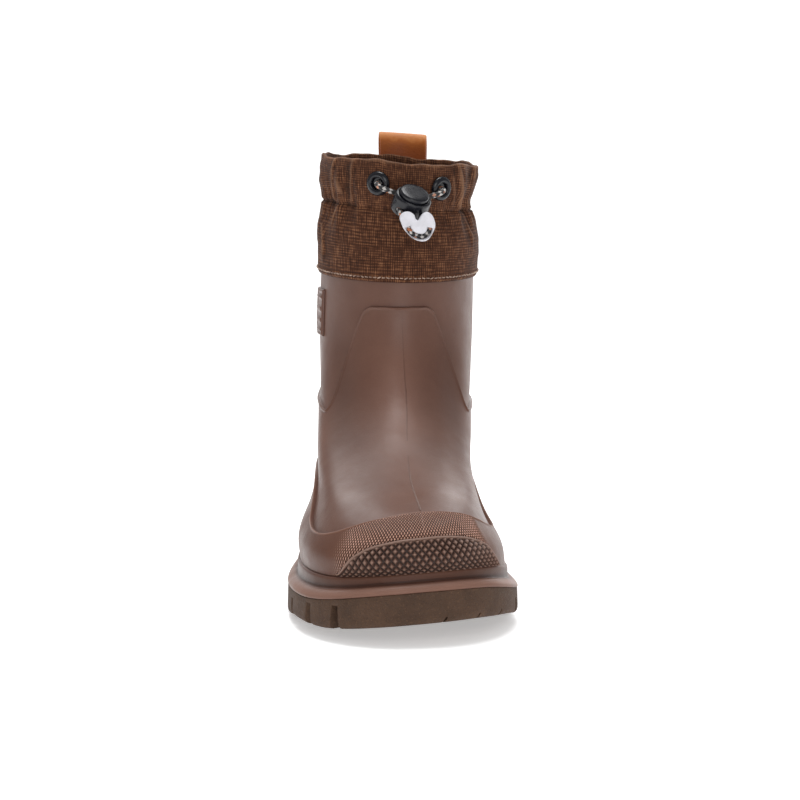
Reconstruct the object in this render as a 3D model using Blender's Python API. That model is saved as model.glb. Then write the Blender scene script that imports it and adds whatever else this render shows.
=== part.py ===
"""A child's moulded rubber winter boot with a gathered cloth cuff, right foot, as separate solids.

The toe points to -Y, the heel to +Y, the outer side of the foot to -X, and the floor is z = 0.
The sizes and tables are in millimetres, and the solids are made in metres.
A turn runs once round the boot: 0 at the heel, 0.25 on the outer side, 0.5 at the toe and 0.75 on
the inner side.
A level counts the rows of LOOPS from the sole up to the rim of the cuff.
"""
import math
from collections import namedtuple

import bmesh
import bpy
import numpy as np
from mathutils import Matrix, Vector

MM = 0.001
GAP = 0.3
WELD = 0.01

# Sole
SOLE_LENGTH = 226.0
SOLE_STATIONS = 24
TOE_ROUND = 58.0
TOE_BLUNT = 2.35
HEEL_ROUND = 42.0
HEEL_BLUNT = 2.2
TOE_SKEW = 0.14
SKEW_FROM = 0.55
SKEW_RUN = 0.30
TOE_TWIST = 0.075
TWIST_FROM = 0.76
TWIST_RUN = 0.22
STATION_SPACE = 0.012
TREAD_EDGE = 1.6
TREAD_ROUND = 2.0
OUTSOLE_EDGE = 0.8
BAND_INSET = 4.2
GROOVE_DEPTH = 7.0
GROOVE_MOUTH = 5.0
GROOVE_FLOOR = 3.4
GROOVE_OVERRUN = 6.0
GROOVE_UNDER = 3.0
GROOVE_TAPER = 0.8

# Upper
UPPER_INSET = 7.5
WALL = 2.4
RUBBER_TOP = 9.0
UPPER_TURNS = 48
VAMP_STEP = 0.9
VAMP_LEAN = -0.008
VAMP_ROWS = 11
VAMP_CROWD = 1.4
VAMP_LIP = 0.03
CORNERS_FROM = 0.30
CORNERS_TO = 0.47
TURN_SPACE = 0.0113
SHAFT_ROWS = 4
INNER_ROWS = 9
SLOPE_TURN = 0.002
SLOPE_LEVEL = 0.02
LEVEL_STEPS = 521

# Layers laid on the upper, as heights over its outer face
LAYER_GAP = 0.4
MUDGUARD_TOP = 2.2
MUDGUARD_ROWS = 7
MUDGUARD_FOOT = 0.02
MUDGUARD_LIP = 0.06
MUDGUARD_ROUND = 0.5
BUMPER_TOP = 3.2
BUMPER_FOOT = 0.06
BUMPER_LEAST = 0.20
BUMPER_ROWS = 4
BUMPER_GAP = 0.45
BADGE_TOP = 1.2
BADGE_FRONT = 0.298
BADGE_BACK = 0.238
BADGE_LOW = 108.5
BADGE_HIGH = 128.5
BADGE_COLUMNS = 6
BADGE_ROUND = 0.5
BADGE_RIM = 0.05

# Insole
INSOLE_THICK = 5.0
INSOLE_INSET = UPPER_INSET + WALL + 0.8
INSOLE_ROUND = 0.6
INSOLE_EDGE = 1.0

# Cuff
HEM_LEVEL = 8.78
RIM_LEVEL = 13.0
CLOTH = 1.4
CUFF_TURNS = 64
CUFF_ROWS = 7
FOLD_START = 10.0
FOLD_END = 8.0

# Cord and its fittings
CORD_RADIUS = 1.1
CORD_SIDES = 6
CORD_BEHIND = 2.6
CORD_MOUTH = 0.6
CORD_DOOR = 7.0
CORD_IN = 4.4
CORD_OUT = -5.4
CORD_BOW = 0.5
CORD_SPACE = 1.6
CORD_PIECES = 3
CUTTER_SIDES = 12
CUTTER_REACH = 12.0
EYELET_RADIUS = 5.2
EYELET_BORE = 2.4
EYELET_BARREL = 3.4
EYELET_PROUD = 1.7
EYELET_BEHIND = 1.0
EYELET_RIM = 0.9
EYELET_ROUND = 0.8
EYELET_LIP = 0.6
EYELET_STEPS = 14
LOCK_CENTRE = Vector((5.6, -9.6, 167.3))
LOCK_LEAN = math.radians(30.0)
LOCK_ROLL = math.radians(18.0)
LOCK_STEPS = 20
LOCK_BORE = 6.6
BORE_FLOOR = 1.0
HOLE_SPREAD = 4.9
HOLE_HEIGHT = -1.0
LOCK_HOLE = 1.6
BUTTON_RADIUS = 6.3
BUTTON_LOW = 3.2
BUTTON_HIGH = 6.6
BUTTON_ROUND = 0.8
CLIP_CENTRE = Vector((7.9, -19.0, 158.6))
CLIP_THICK = 5.2
CLIP_ROUND = 0.8
CLIP_TOP = 9.0
CLIP_WINDOW = 1.5
CLIP_WINDOW_DEEP = 2.0
CLIP_SIDES = 10

# Pull loop
STRAP_WIDTH = 20.0
STRAP_CENTRE = 8.4
STRAP_COLUMNS = 7
LEATHER = 1.6

Plan = namedtuple("Plan", "along centre half")
PLAN = [
    Plan(0.00, 1.0, 36.0),
    Plan(0.18, 1.0, 37.6),
    Plan(0.42, -0.9, 38.6),
    Plan(0.67, -0.9, 46.2),
    Plan(0.84, 1.6, 45.2),
    Plan(1.00, 4.6, 42.0),
]

Tread = namedtuple("Tread", "along height")
TREAD = [
    Tread(0.00, 3.0),
    Tread(0.05, 0.0),
    Tread(0.30, 0.0),
    Tread(0.335, 5.0),
    Tread(0.43, 5.0),
    Tread(0.49, 0.0),
    Tread(0.66, 0.0),
    Tread(0.74, 2.6),
    Tread(0.78, 4.1),
    Tread(0.845, 5.7),
    Tread(0.92, 7.0),
    Tread(1.00, 9.2),
]

Seat = namedtuple("Seat", "along outsole feather")
SEATS = [
    Seat(0.00, 19.5, 31.0),
    Seat(0.25, 18.6, 30.0),
    Seat(0.50, 15.2, 25.6),
    Seat(0.72, 13.6, 22.9),
    Seat(0.88, 17.0, 25.6),
    Seat(1.00, 21.8, 29.2),
]

Step = namedtuple("Step", "inset rise share")
MIDSOLE_STEPS = [
    Step(0.6, GAP, 0.0),
    Step(0.1, 1.0, 0.0),
    Step(0.4, 2.3, 0.0),
    Step(1.6, 3.2, 0.0),
    Step(BAND_INSET - 0.3, 3.6, 0.0),
    Step(BAND_INSET, 4.2, 0.0),
    Step(BAND_INSET + 0.3, -0.7, 1.0),
    Step(BAND_INSET + 1.0, 0.0, 1.0),
]

Groove = namedtuple("Groove", "side along reach shift")
GROOVES = [
    Groove(-1, 0.15, 24.0, 5.0),
    Groove(-1, 0.235, 24.0, 5.0),
    Groove(1, 0.13, 24.0, 5.0),
    Groove(1, 0.215, 24.0, 5.0),
    Groove(-1, 0.555, 31.0, -9.0),
    Groove(-1, 0.66, 33.0, -9.0),
    Groove(-1, 0.76, 33.0, -9.0),
    Groove(-1, 0.858, 28.0, 0.0),
    Groove(-1, 0.929, 16.0, 24.0),
    Groove(1, 0.57, 31.0, -9.0),
    Groove(1, 0.66, 33.0, -9.0),
    Groove(1, 0.755, 31.0, -3.0),
    Groove(1, 0.85, 28.0, 8.0),
]

Loop = namedtuple("Loop", "front_y front_z back_y back_z half plan droop shift tilt")
LOOPS = [
    Loop(-105.5, 29.5, 105.5, 31.3, 38.7, 1.00, 1.00, 0.0, 0.000),
    Loop(-106.4, 36.2, 107.0, 44.0, 38.2, 1.00, 0.90, -1.0, 0.000),
    Loop(-102.5, 43.2, 106.0, 58.0, 33.6, 0.95, 0.70, -1.2, 0.000),
    Loop(-91.0, 48.4, 102.5, 72.0, 31.4, 0.85, 0.50, -1.1, 0.000),
    Loop(-66.0, 55.6, 99.5, 85.0, 31.3, 0.65, 0.30, -1.3, 0.000),
    Loop(-41.0, 67.0, 97.5, 96.0, 32.4, 0.40, 0.15, 0.2, 0.000),
    Loop(-20.0, 82.5, 96.5, 106.0, 33.2, 0.20, 0.05, 1.5, 0.000),
    Loop(-7.5, 99.5, 96.3, 116.0, 33.5, 0.05, 0.00, 2.2, 0.000),
    Loop(-2.2, 117.0, 96.4, 126.0, 33.5, 0.00, 0.00, 2.6, 0.000),
    Loop(-1.0, 138.0, 96.6, 139.0, 33.3, 0.00, 0.00, 3.2, -0.020),
    Loop(-0.4, 150.0, 97.3, 151.0, 33.2, 0.00, 0.00, 3.6, -0.045),
    Loop(1.0, 164.5, 95.4, 165.0, 29.8, 0.00, 0.00, 3.2, -0.060),
    Loop(-0.8, 174.5, 97.0, 174.5, 32.0, 0.00, 0.00, 3.9, -0.065),
    Loop(-1.0, 184.0, 97.2, 184.0, 32.4, 0.00, 0.00, 4.1, -0.070),
]

Edge = namedtuple("Edge", "turn height")
VAMP_EDGE = [
    Edge(0.000, 92.0),
    Edge(0.140, 89.0),
    Edge(0.250, 84.5),
    Edge(0.290, 82.5),
    Edge(0.326, 79.6),
    Edge(0.338, 79.4),
    Edge(0.350, 81.8),
    Edge(0.380, 97.0),
    Edge(0.415, 115.5),
    Edge(0.427, 120.8),
    Edge(0.440, 123.2),
    Edge(0.460, 123.6),
    Edge(0.500, 123.6),
    Edge(0.540, 123.6),
]
MUDGUARD_EDGE = [
    Edge(0.000, 66.0),
    Edge(0.120, 65.0),
    Edge(0.230, 62.0),
    Edge(0.285, 56.5),
    Edge(0.305, 48.8),
    Edge(0.320, 41.8),
    Edge(0.335, 39.2),
    Edge(0.360, 38.6),
    Edge(0.374, 39.4),
    Edge(0.390, 41.2),
    Edge(0.410, 43.6),
    Edge(0.432, 45.6),
    Edge(0.455, 46.8),
    Edge(0.480, 47.6),
    Edge(0.500, 47.9),
    Edge(0.520, 47.6),
]
BUMPER_EDGE = [
    Edge(0.408, 27.3),
    Edge(0.420, 32.2),
    Edge(0.435, 36.0),
    Edge(0.451, 38.5),
    Edge(0.468, 39.8),
    Edge(0.481, 40.4),
    Edge(0.500, 40.6),
    Edge(0.520, 40.4),
    Edge(0.542, 39.4),
    Edge(0.556, 38.2),
    Edge(0.570, 36.3),
    Edge(0.583, 33.5),
    Edge(0.592, 30.4),
    Edge(0.599, 27.4),
]

Fold = namedtuple("Fold", "turn span height low high")
FOLDS = [
    Fold(0.350, 0.018, 1.5, 150.0, 186.0),
    Fold(0.376, 0.016, -1.0, 156.0, 186.0),
    Fold(0.402, 0.016, 1.1, 152.0, 184.0),
    Fold(0.305, 0.026, -1.2, 150.0, 186.0),
    Fold(0.255, 0.024, 1.5, 146.0, 184.0),
    Fold(0.205, 0.024, -1.4, 150.0, 184.0),
    Fold(0.155, 0.022, 1.4, 148.0, 186.0),
    Fold(0.110, 0.022, -1.0, 150.0, 180.0),
    Fold(0.890, 0.022, -1.0, 150.0, 180.0),
    Fold(0.845, 0.022, 1.4, 148.0, 186.0),
    Fold(0.795, 0.024, -1.4, 150.0, 184.0),
    Fold(0.745, 0.022, 1.2, 146.0, 184.0),
    Fold(0.700, 0.018, 1.6, 148.0, 186.0),
    Fold(0.664, 0.018, -1.2, 152.0, 186.0),
    Fold(0.630, 0.016, 1.4, 150.0, 186.0),
]

Eyelet = namedtuple("Eyelet", "name turn height")
EYELETS = [
    Eyelet("lateral", 0.4461, 175.8),
    Eyelet("medial", 0.5731, 173.6),
]

Run = namedtuple("Run", "along height")
CORD_RUNS = [
    Run(0.7, 2.5),
    Run(2.8, 3.5),
]

Ring = namedtuple("Ring", "half_x half_y height")
LOCK_RINGS = [
    Ring(6.6, 5.6, -4.4),
    Ring(7.7, 6.8, -3.4),
    Ring(8.0, 7.1, -1.0),
    Ring(7.9, 7.3, 2.0),
    Ring(7.7, 7.3, 3.9),
    Ring(7.3, 7.0, 4.4),
]

Outline = namedtuple("Outline", "across up")
CLIP_OUTLINE = [
    Outline(0.2, 2.4),
    Outline(1.1, 4.1),
    Outline(2.6, 5.6),
    Outline(4.1, 5.9),
    Outline(5.6, 5.0),
    Outline(6.7, 3.0),
    Outline(7.2, 0.6),
    Outline(6.6, -1.7),
    Outline(5.4, -4.0),
    Outline(3.8, -5.7),
    Outline(1.9, -6.2),
    Outline(0.1, -5.9),
    Outline(-2.0, -5.0),
    Outline(-4.2, -3.1),
    Outline(-5.9, -0.9),
    Outline(-7.0, 1.7),
    Outline(-7.5, 3.7),
    Outline(-6.7, 5.3),
    Outline(-5.0, 6.1),
    Outline(-3.2, 6.0),
    Outline(-1.7, 5.0),
    Outline(-0.7, 2.9),
]
CLIP_LOOP = [
    Outline(-4.4, 1.6),
    Outline(-4.2, 0.0),
    Outline(-3.5, -1.6),
    Outline(-2.2, -3.0),
    Outline(-0.4, -3.9),
    Outline(1.6, -4.2),
    Outline(3.4, -3.6),
    Outline(4.6, -2.2),
    Outline(5.0, -0.4),
    Outline(4.7, 1.6),
]

Strap = namedtuple("Strap", "rise lift")
STRAP = [
    Strap(-34.0, 3.0),
    Strap(-28.0, 3.0),
    Strap(-22.0, 3.0),
    Strap(-16.0, 3.0),
    Strap(-10.0, 3.0),
    Strap(-4.0, 3.0),
    Strap(3.0, 3.0),
    Strap(7.5, 3.6),
    Strap(9.8, 5.2),
    Strap(10.4, 7.0),
    Strap(9.2, 8.8),
    Strap(5.6, 9.5),
    Strap(1.0, 8.6),
    Strap(-4.0, 6.6),
    Strap(-10.0, 5.2),
    Strap(-16.0, 5.0),
    Strap(-22.0, 5.0),
    Strap(-28.0, 5.0),
    Strap(-34.0, 5.0),
]

Finish = namedtuple("Finish", "colour roughness")
BROWN_RUBBER = Finish((0.17, 0.105, 0.08, 1.0), 0.5)
DARK_RUBBER = Finish((0.09, 0.05, 0.035, 1.0), 0.6)
SOLE_RUBBER = Finish((0.10, 0.07, 0.045, 1.0), 0.85)
BROWN_CLOTH = Finish((0.075, 0.033, 0.02, 1.0), 0.8)
FELT = Finish((0.16, 0.13, 0.11, 1.0), 0.95)
TAN_LEATHER = Finish((0.42, 0.20, 0.08, 1.0), 0.6)
BLACK_PLASTIC = Finish((0.03, 0.028, 0.03, 1.0), 0.4)
BLACK_CORD = Finish((0.02, 0.02, 0.02, 1.0), 0.8)
CLEAR_PLASTIC = Finish((0.70, 0.70, 0.72, 1.0), 0.25)


def through(rows, column, at, place="along"):
    """Smooth curve through one column of a table, read at the places given."""
    places = np.array([getattr(row, place) for row in rows], float)
    values = np.array([getattr(row, column) for row in rows], float)
    return smooth(places, values, at)


def smooth(places, values, at):
    slopes = np.gradient(values, places)
    at = np.clip(np.asarray(at, float), places[0], places[-1])
    left = np.clip(np.searchsorted(places, at) - 1, 0, len(places) - 2)
    width = places[left + 1] - places[left]
    s = (at - places[left]) / width
    start = (1 + 2 * s) * (1 - s) ** 2 * values[left] + s * (1 - s) ** 2 * width * slopes[left]
    stop = s * s * (3 - 2 * s) * values[left + 1] + s * s * (s - 1) * width * slopes[left + 1]
    return start + stop


def along_of(turn):
    """Share of the length from the heel to the toe at a turn."""
    return 0.5 - 0.5 * np.cos(2 * math.pi * np.asarray(turn, float))


def plan_half(along, inset):
    """Half width of the plan outline, rounded at both ends."""
    length = SOLE_LENGTH - 2 * inset
    half = through(PLAN, "half", along) - inset
    to_heel = np.clip(along * length / (HEEL_ROUND - inset), 0, 1)
    to_toe = np.clip((1 - along) * length / (TOE_ROUND - inset), 0, 1)
    heel = (1 - (1 - to_heel) ** HEEL_BLUNT) ** (1 / HEEL_BLUNT)
    toe = (1 - (1 - to_toe) ** TOE_BLUNT) ** (1 / TOE_BLUNT)
    return half * heel * toe


def side_of(turn):
    return np.where(np.asarray(turn) % 1.0 < 0.5, -1.0, 1.0)


def plan(turn, inset):
    """Plan outline of the sole at a turn, drawn in by an inset."""
    along = along_of(turn)
    half = side_of(turn) * plan_half(along, inset)
    x = through(PLAN, "centre", along) + half
    y = (SOLE_LENGTH / 2 - inset) * (1 - 2 * along) + toe_skew(along) * half
    return x, y


def toe_skew(along):
    """How much the toe's outer corner is set forward of its inner corner, per millimetre across."""
    share = np.clip((along - SKEW_FROM) / SKEW_RUN, 0, 1)
    return TOE_SKEW * share * share * (3 - 2 * share)


def toe_twist(y):
    """How much higher the toe's inner side stands than its outer side, per millimetre across."""
    share = np.clip((along_y(y) - TWIST_FROM) / TWIST_RUN, 0, 1)
    return TOE_TWIST * share * share * (3 - 2 * share)


def along_y(y):
    return np.clip(0.5 - np.asarray(y, float) / SOLE_LENGTH, 0, 1)


def tread_height(y):
    return np.interp(along_y(y), [row.along for row in TREAD], [row.height for row in TREAD])


def outsole_height(y):
    return through(SEATS, "outsole", along_y(y))


def feather_height(y):
    """Height of the line where the upper meets the sole."""
    return through(SEATS, "feather", along_y(y))


def loop_column(column, level):
    values = np.array([getattr(row, column) for row in LOOPS], float)
    return smooth(np.arange(len(LOOPS), dtype=float), values, level)


def upper_point(turn, level, twisted=True):
    """Point of the upper's outer face, with or without the twist of the toe."""
    turn, level = np.broadcast_arrays(np.asarray(turn, float), np.asarray(level, float))
    along = along_of(turn)
    share = loop_column("plan", level)
    half = loop_column("half", level)
    ball = LOOPS[0].half
    shaped = side_of(turn) * plan_half(along, UPPER_INSET) / ball
    oval = -np.sin(2 * math.pi * turn)
    middle = share * through(PLAN, "centre", along) + loop_column("shift", level)
    x = middle + half * (share * shaped + (1 - share) * oval)
    y = (1 - along) * loop_column("back_y", level) + along * loop_column("front_y", level)
    y = y + toe_skew(along) * half * share * shaped
    z = (1 - along) * loop_column("back_z", level) + along * loop_column("front_z", level)
    first = LOOPS[0]
    chord = first.back_z + along * (first.front_z - first.back_z)
    base_y = first.back_y + along * (first.front_y - first.back_y) + toe_skew(along) * ball * shaped
    z = z + loop_column("droop", level) * (feather_height(base_y) + GAP - chord)
    z = z + loop_column("tilt", level) * (x - middle)
    if twisted:
        z = z + share * toe_twist(base_y) * half * shaped
    return np.stack([x, y, z], axis=-1)


def upper_normal(turn, level):
    """Outward direction of the upper's face."""
    low = np.maximum(np.asarray(level, float) - SLOPE_LEVEL, 0.0)
    high = np.minimum(np.asarray(level, float) + SLOPE_LEVEL, RIM_LEVEL)
    around = upper_point(turn + SLOPE_TURN, level) - upper_point(turn - SLOPE_TURN, level)
    up = upper_point(turn, high) - upper_point(turn, low)
    normal = np.cross(around, up)
    normal[..., 2] *= np.clip(2 * np.asarray(level, float), 0, 1)
    return normal / np.linalg.norm(normal, axis=-1, keepdims=True)


def lifted(turn, level, lift):
    turn, level, lift = np.broadcast_arrays(np.asarray(turn, float), np.asarray(level, float), lift)
    return upper_point(turn, level) + upper_normal(turn, level) * lift[..., None]


def level_at(turn, height):
    """Level at which the upper reaches a height, turn by turn, the toe's twist left out."""
    levels = np.linspace(0.0, RIM_LEVEL, LEVEL_STEPS)
    found = []
    for one_turn, one_height in zip(np.atleast_1d(turn), np.atleast_1d(height)):
        heights = upper_point(one_turn, levels, twisted=False)[:, 2]
        found.append(np.interp(one_height, np.maximum.accumulate(heights), levels))
    return np.array(found)


def edge_level(rows, turn, lean=0.0):
    """Level of a layer's edge, whose table runs from heel to toe and serves both sides of its lean."""
    mirrored = 0.5 - np.abs(0.5 - (np.asarray(turn) - lean) % 1.0)
    return level_at(turn, through(rows, "height", mirrored, place="turn"))


def fold_height(turn, height):
    """How far the cuff's folds stand out from its even form."""
    total = np.zeros(np.broadcast(turn, height).shape)
    for fold in FOLDS:
        away = np.abs((np.asarray(turn) - fold.turn + 0.5) % 1.0 - 0.5) / fold.span
        start = np.clip((height - fold.low) / FOLD_START, 0, 1)
        end = np.clip((fold.high - height) / FOLD_END, 0, 1)
        total = total + fold.height * np.exp(-away * away) * start * end
    return total


def remove_all():
    for thing in list(bpy.data.objects):
        bpy.data.objects.remove(thing, do_unlink=True)


def paint(thing, name, finish):
    material = bpy.data.materials.new(name)
    material.use_nodes = True
    shader = material.node_tree.nodes["Principled BSDF"]
    shader.inputs["Base Color"].default_value = finish.colour
    shader.inputs["Roughness"].default_value = finish.roughness
    material.diffuse_color = finish.colour
    thing.data.materials.append(material)


def add_mesh(name, points, faces, finish, helper=False):
    """New mesh object from points in millimetres, with its faces turned outward."""
    mesh = bpy.data.meshes.new(name)
    mesh.from_pydata([tuple(MM * float(c) for c in p) for p in points], [], faces)
    work = bmesh.new()
    work.from_mesh(mesh)
    bmesh.ops.recalc_face_normals(work, faces=work.faces)
    work.to_mesh(mesh)
    work.free()
    thing = bpy.data.objects.new(name, mesh)
    bpy.context.scene.collection.objects.link(thing)
    if helper:
        thing.hide_render = True
        thing.display_type = "WIRE"
    else:
        paint(thing, name, finish)
    return thing


def cut(thing, cutter):
    change = thing.modifiers.new("cut", "BOOLEAN")
    change.operation = "DIFFERENCE"
    change.solver = "EXACT"
    change.object = cutter


def ring_faces(count, lower, upper, closed=True):
    """Faces between two rows of points, given the number of the first point in each."""
    last = count if closed else count - 1
    faces = []
    for i in range(last):
        j = (i + 1) % count
        faces.append((lower + i, lower + j, upper + j, upper + i))
    return faces


def ladder_faces(count, first):
    """Faces across a closed row whose points pair up from side to side."""
    faces = [(first, first + 1, first + count - 1)]
    for i in range(1, count // 2 - 1):
        faces.append((first + i, first + i + 1, first + count - i - 1, first + count - i))
    middle = count // 2
    faces.append((first + middle - 1, first + middle, first + middle + 1))
    return faces


def stack(name, rows, finish):
    """Solid from closed rows of points laid one on another, flat at both ends."""
    count = len(rows[0])
    faces = ladder_faces(count, 0) + ladder_faces(count, count * (len(rows) - 1))
    for k in range(len(rows) - 1):
        faces += ring_faces(count, count * k, count * (k + 1))
    return add_mesh(name, np.concatenate(rows), faces, finish)


def layer(name, turns, outside, inside, finish, closed=True):
    """Solid over the upper's face, from rows of a level and a lift, lower edge first."""
    count = len(turns)
    points = [lifted(turns, level, lift) for level, lift in outside + inside]
    last = len(outside) - 1
    back = count * len(outside)
    deep = len(inside) - 1
    faces = ring_faces(count, 0, back, closed)
    faces += ring_faces(count, count * last, back + count * deep, closed)
    for k in range(last):
        faces += ring_faces(count, count * k, count * (k + 1), closed)
    for k in range(deep):
        faces += ring_faces(count, back + count * k, back + count * (k + 1), closed)
    if not closed:
        for end in (0, count - 1):
            for k in range(last):
                here = count * k + end
                faces.append((here, here + count, back + here + count, back + here))
    return add_mesh(name, np.concatenate(points), faces, finish)


def between(low, high, shares, lift):
    """Rows of a layer at even lift, at the given shares of the way from one edge to the other."""
    return [(low + (high - low) * share, lift) for share in shares]


def turned(name, profile, steps, place, finish):
    """Solid turned about its own Z axis from a closed profile of radius and height, then placed."""
    points = []
    faces = []
    count = len(profile)
    for k in range(steps):
        angle = 2 * math.pi * k / steps
        for radius, height in profile:
            point = Vector((radius * math.cos(angle), radius * math.sin(angle), height))
            points.append(place @ point)
    for k in range(steps):
        here = count * k
        beyond = count * ((k + 1) % steps)
        for i in range(count):
            j = (i + 1) % count
            faces.append((here + i, here + j, beyond + j, beyond + i))
    thing = add_mesh(name, points, faces, finish)
    work = bmesh.new()
    work.from_mesh(thing.data)
    bmesh.ops.remove_doubles(work, verts=work.verts, dist=WELD * MM)
    bmesh.ops.dissolve_degenerate(work, edges=work.edges, dist=WELD * MM)
    bmesh.ops.recalc_face_normals(work, faces=work.faces)
    work.to_mesh(thing.data)
    work.free()
    return thing


def tube(name, path, radius, sides, finish, helper=False):
    """Round cord along a path of points, closed at both ends."""
    path = [Vector(p) for p in path]
    points = []
    faces = []
    ahead = (path[1] - path[0]).normalized()
    across = ahead.orthogonal().normalized()
    for k, point in enumerate(path):
        before = path[max(k - 1, 0)]
        after = path[min(k + 1, len(path) - 1)]
        direction = (after - before).normalized()
        across = (across - direction * across.dot(direction)).normalized()
        other = direction.cross(across)
        for i in range(sides):
            angle = 2 * math.pi * i / sides
            points.append(point + radius * (math.cos(angle) * across + math.sin(angle) * other))
    for k in range(len(path) - 1):
        faces += ring_faces(sides, sides * k, sides * (k + 1))
    faces.append(tuple(range(sides)))
    faces.append(tuple(range(sides * (len(path) - 1), sides * len(path))))
    return add_mesh(name, points, faces, finish, helper)


def sole_turns():
    """Turns round the sole that include the places where the tread changes."""
    even = [0.5 - 0.5 * math.cos(math.pi * k / SOLE_STATIONS) for k in range(SOLE_STATIONS + 1)]
    fixed = [row.along for row in TREAD]
    alongs = list(fixed)
    for value in even:
        if min(abs(value - other) for other in fixed) > STATION_SPACE:
            alongs.append(value)
    alongs.sort()
    outer = [math.acos(1 - 2 * a) / (2 * math.pi) for a in alongs]
    return np.array(outer + [1 - t for t in reversed(outer[1:-1])])


def sole_row(turns, inset, height):
    x, y = plan(turns, inset)
    across = x - through(PLAN, "centre", along_of(turns))
    return np.stack([x, y, height(y) + toe_twist(y) * across], axis=-1)


def build_outsole():
    turns = sole_turns()
    rows = [
        sole_row(turns, TREAD_EDGE, tread_height),
        sole_row(turns, 0.0, lambda y: tread_height(y) + TREAD_ROUND),
        sole_row(turns, OUTSOLE_EDGE / 2, lambda y: outsole_height(y) - OUTSOLE_EDGE / 2),
        sole_row(turns, OUTSOLE_EDGE, outsole_height),
    ]
    outsole = stack("outsole", rows, SOLE_RUBBER)
    cut(outsole, groove_cutters())


def groove_cutters():
    """One wedge for each groove between two lugs, narrower at its floor."""
    points = []
    faces = []
    for groove in GROOVES:
        turn = math.acos(1 - 2 * groove.along) / (2 * math.pi)
        turn = turn if groove.side < 0 else 1 - turn
        x, y = plan(np.array([turn]), 0.0)
        mouth = Vector((x[0], y[0], 0.0))
        target = Vector((0.0, y[0] + groove.shift, 0.0))
        inward = (target - mouth).normalized()
        across = Vector((-inward.y, inward.x, 0.0))
        outer = mouth - inward * GROOVE_OVERRUN
        inner = mouth + inward * groove.reach
        first = len(points)
        for end, narrow in ((outer, 1.0), (inner, GROOVE_TAPER)):
            ground = float(tread_height(end.y))
            low = ground - GROOVE_UNDER
            for height, width in ((low, GROOVE_MOUTH), (ground + GROOVE_DEPTH, GROOVE_FLOOR)):
                for side in (-0.5, 0.5):
                    spot = end + across * side * width * narrow
                    points.append((spot.x, spot.y, height))
        sides = [(0, 1, 3, 2), (4, 6, 7, 5), (0, 4, 5, 1), (2, 3, 7, 6), (0, 2, 6, 4), (1, 5, 7, 3)]
        faces += [tuple(first + corner for corner in side) for side in sides]
    return add_mesh("groove_cutters", points, faces, SOLE_RUBBER, helper=True)


def build_midsole():
    turns = sole_turns()
    rows = []
    for step in MIDSOLE_STEPS:
        def height(y, step=step):
            base = outsole_height(y) * (1 - step.share) + feather_height(y) * step.share
            return base + step.rise
        rows.append(sole_row(turns, step.inset, height))
    stack("midsole", rows, DARK_RUBBER)


def build_insole():
    turns = sole_turns()
    rows = [
        sole_row(turns, INSOLE_INSET + INSOLE_ROUND, lambda y: feather_height(y) + GAP),
        sole_row(turns, INSOLE_INSET, lambda y: feather_height(y) + GAP + INSOLE_EDGE),
        sole_row(turns, INSOLE_INSET + INSOLE_ROUND, lambda y: feather_height(y) + GAP + INSOLE_THICK),
    ]
    stack("insole", rows, FELT)


def build_upper():
    turns = front_turns()
    base = np.zeros(len(turns))
    edge = edge_level(VAMP_EDGE, turns, VAMP_LEAN)
    top = base + RUBBER_TOP
    vamp = [(k / VAMP_ROWS) ** VAMP_CROWD for k in range(VAMP_ROWS)]
    shaft = [k / SHAFT_ROWS for k in range(1, SHAFT_ROWS + 1)]
    outside = between(base, edge, vamp, VAMP_STEP)
    outside += [(edge - VAMP_LIP, VAMP_STEP), (edge, VAMP_STEP / 2), (edge + VAMP_LIP / 3, 0.0)]
    outside += between(edge, top, shaft, 0.0)
    inside = between(base, top, [k / INNER_ROWS for k in range(INNER_ROWS + 1)], -WALL)
    layer("upper", turns, outside, inside, BROWN_RUBBER)


def front_turns():
    """Even turns with the corners of the vamp's edge added, on both sides."""
    even = [k / UPPER_TURNS for k in range(UPPER_TURNS)]
    places = [row.turn for row in VAMP_EDGE if CORNERS_FROM < row.turn < CORNERS_TO]
    corners = [VAMP_LEAN + turn for turn in places] + [VAMP_LEAN + 1 - turn for turn in places]
    kept = [t for t in even if min(abs(t - corner) for corner in corners) > TURN_SPACE]
    return np.array(sorted(kept + corners))


def build_mudguard():
    turns = front_turns()
    low = np.full(len(turns), MUDGUARD_FOOT)
    high = edge_level(MUDGUARD_EDGE, turns)
    shares = [k / MUDGUARD_ROWS for k in range(MUDGUARD_ROWS)]
    outside = between(low, high, shares, MUDGUARD_TOP)
    outside += [(high - MUDGUARD_LIP, MUDGUARD_TOP), (high, MUDGUARD_TOP - MUDGUARD_ROUND)]
    inside = between(low, high, shares + [1.0], VAMP_STEP + LAYER_GAP)
    layer("mudguard", turns, outside, inside, BROWN_RUBBER)


def build_bumper():
    first = BUMPER_EDGE[0].turn
    last = BUMPER_EDGE[-1].turn
    turns = np.array([t for t in front_turns() if first - SLOPE_TURN < t < last + SLOPE_TURN])
    heights = through(BUMPER_EDGE, "height", turns, place="turn")
    low = np.full(len(turns), BUMPER_FOOT)
    high = np.maximum(level_at(turns, heights), BUMPER_LEAST)
    shares = [k / BUMPER_ROWS for k in range(BUMPER_ROWS + 1)]
    outside = between(low, high, shares, BUMPER_TOP)
    inside = between(low, high, shares, MUDGUARD_TOP + BUMPER_GAP)
    layer("toe_bumper", turns, outside, inside, DARK_RUBBER, closed=False)


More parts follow.
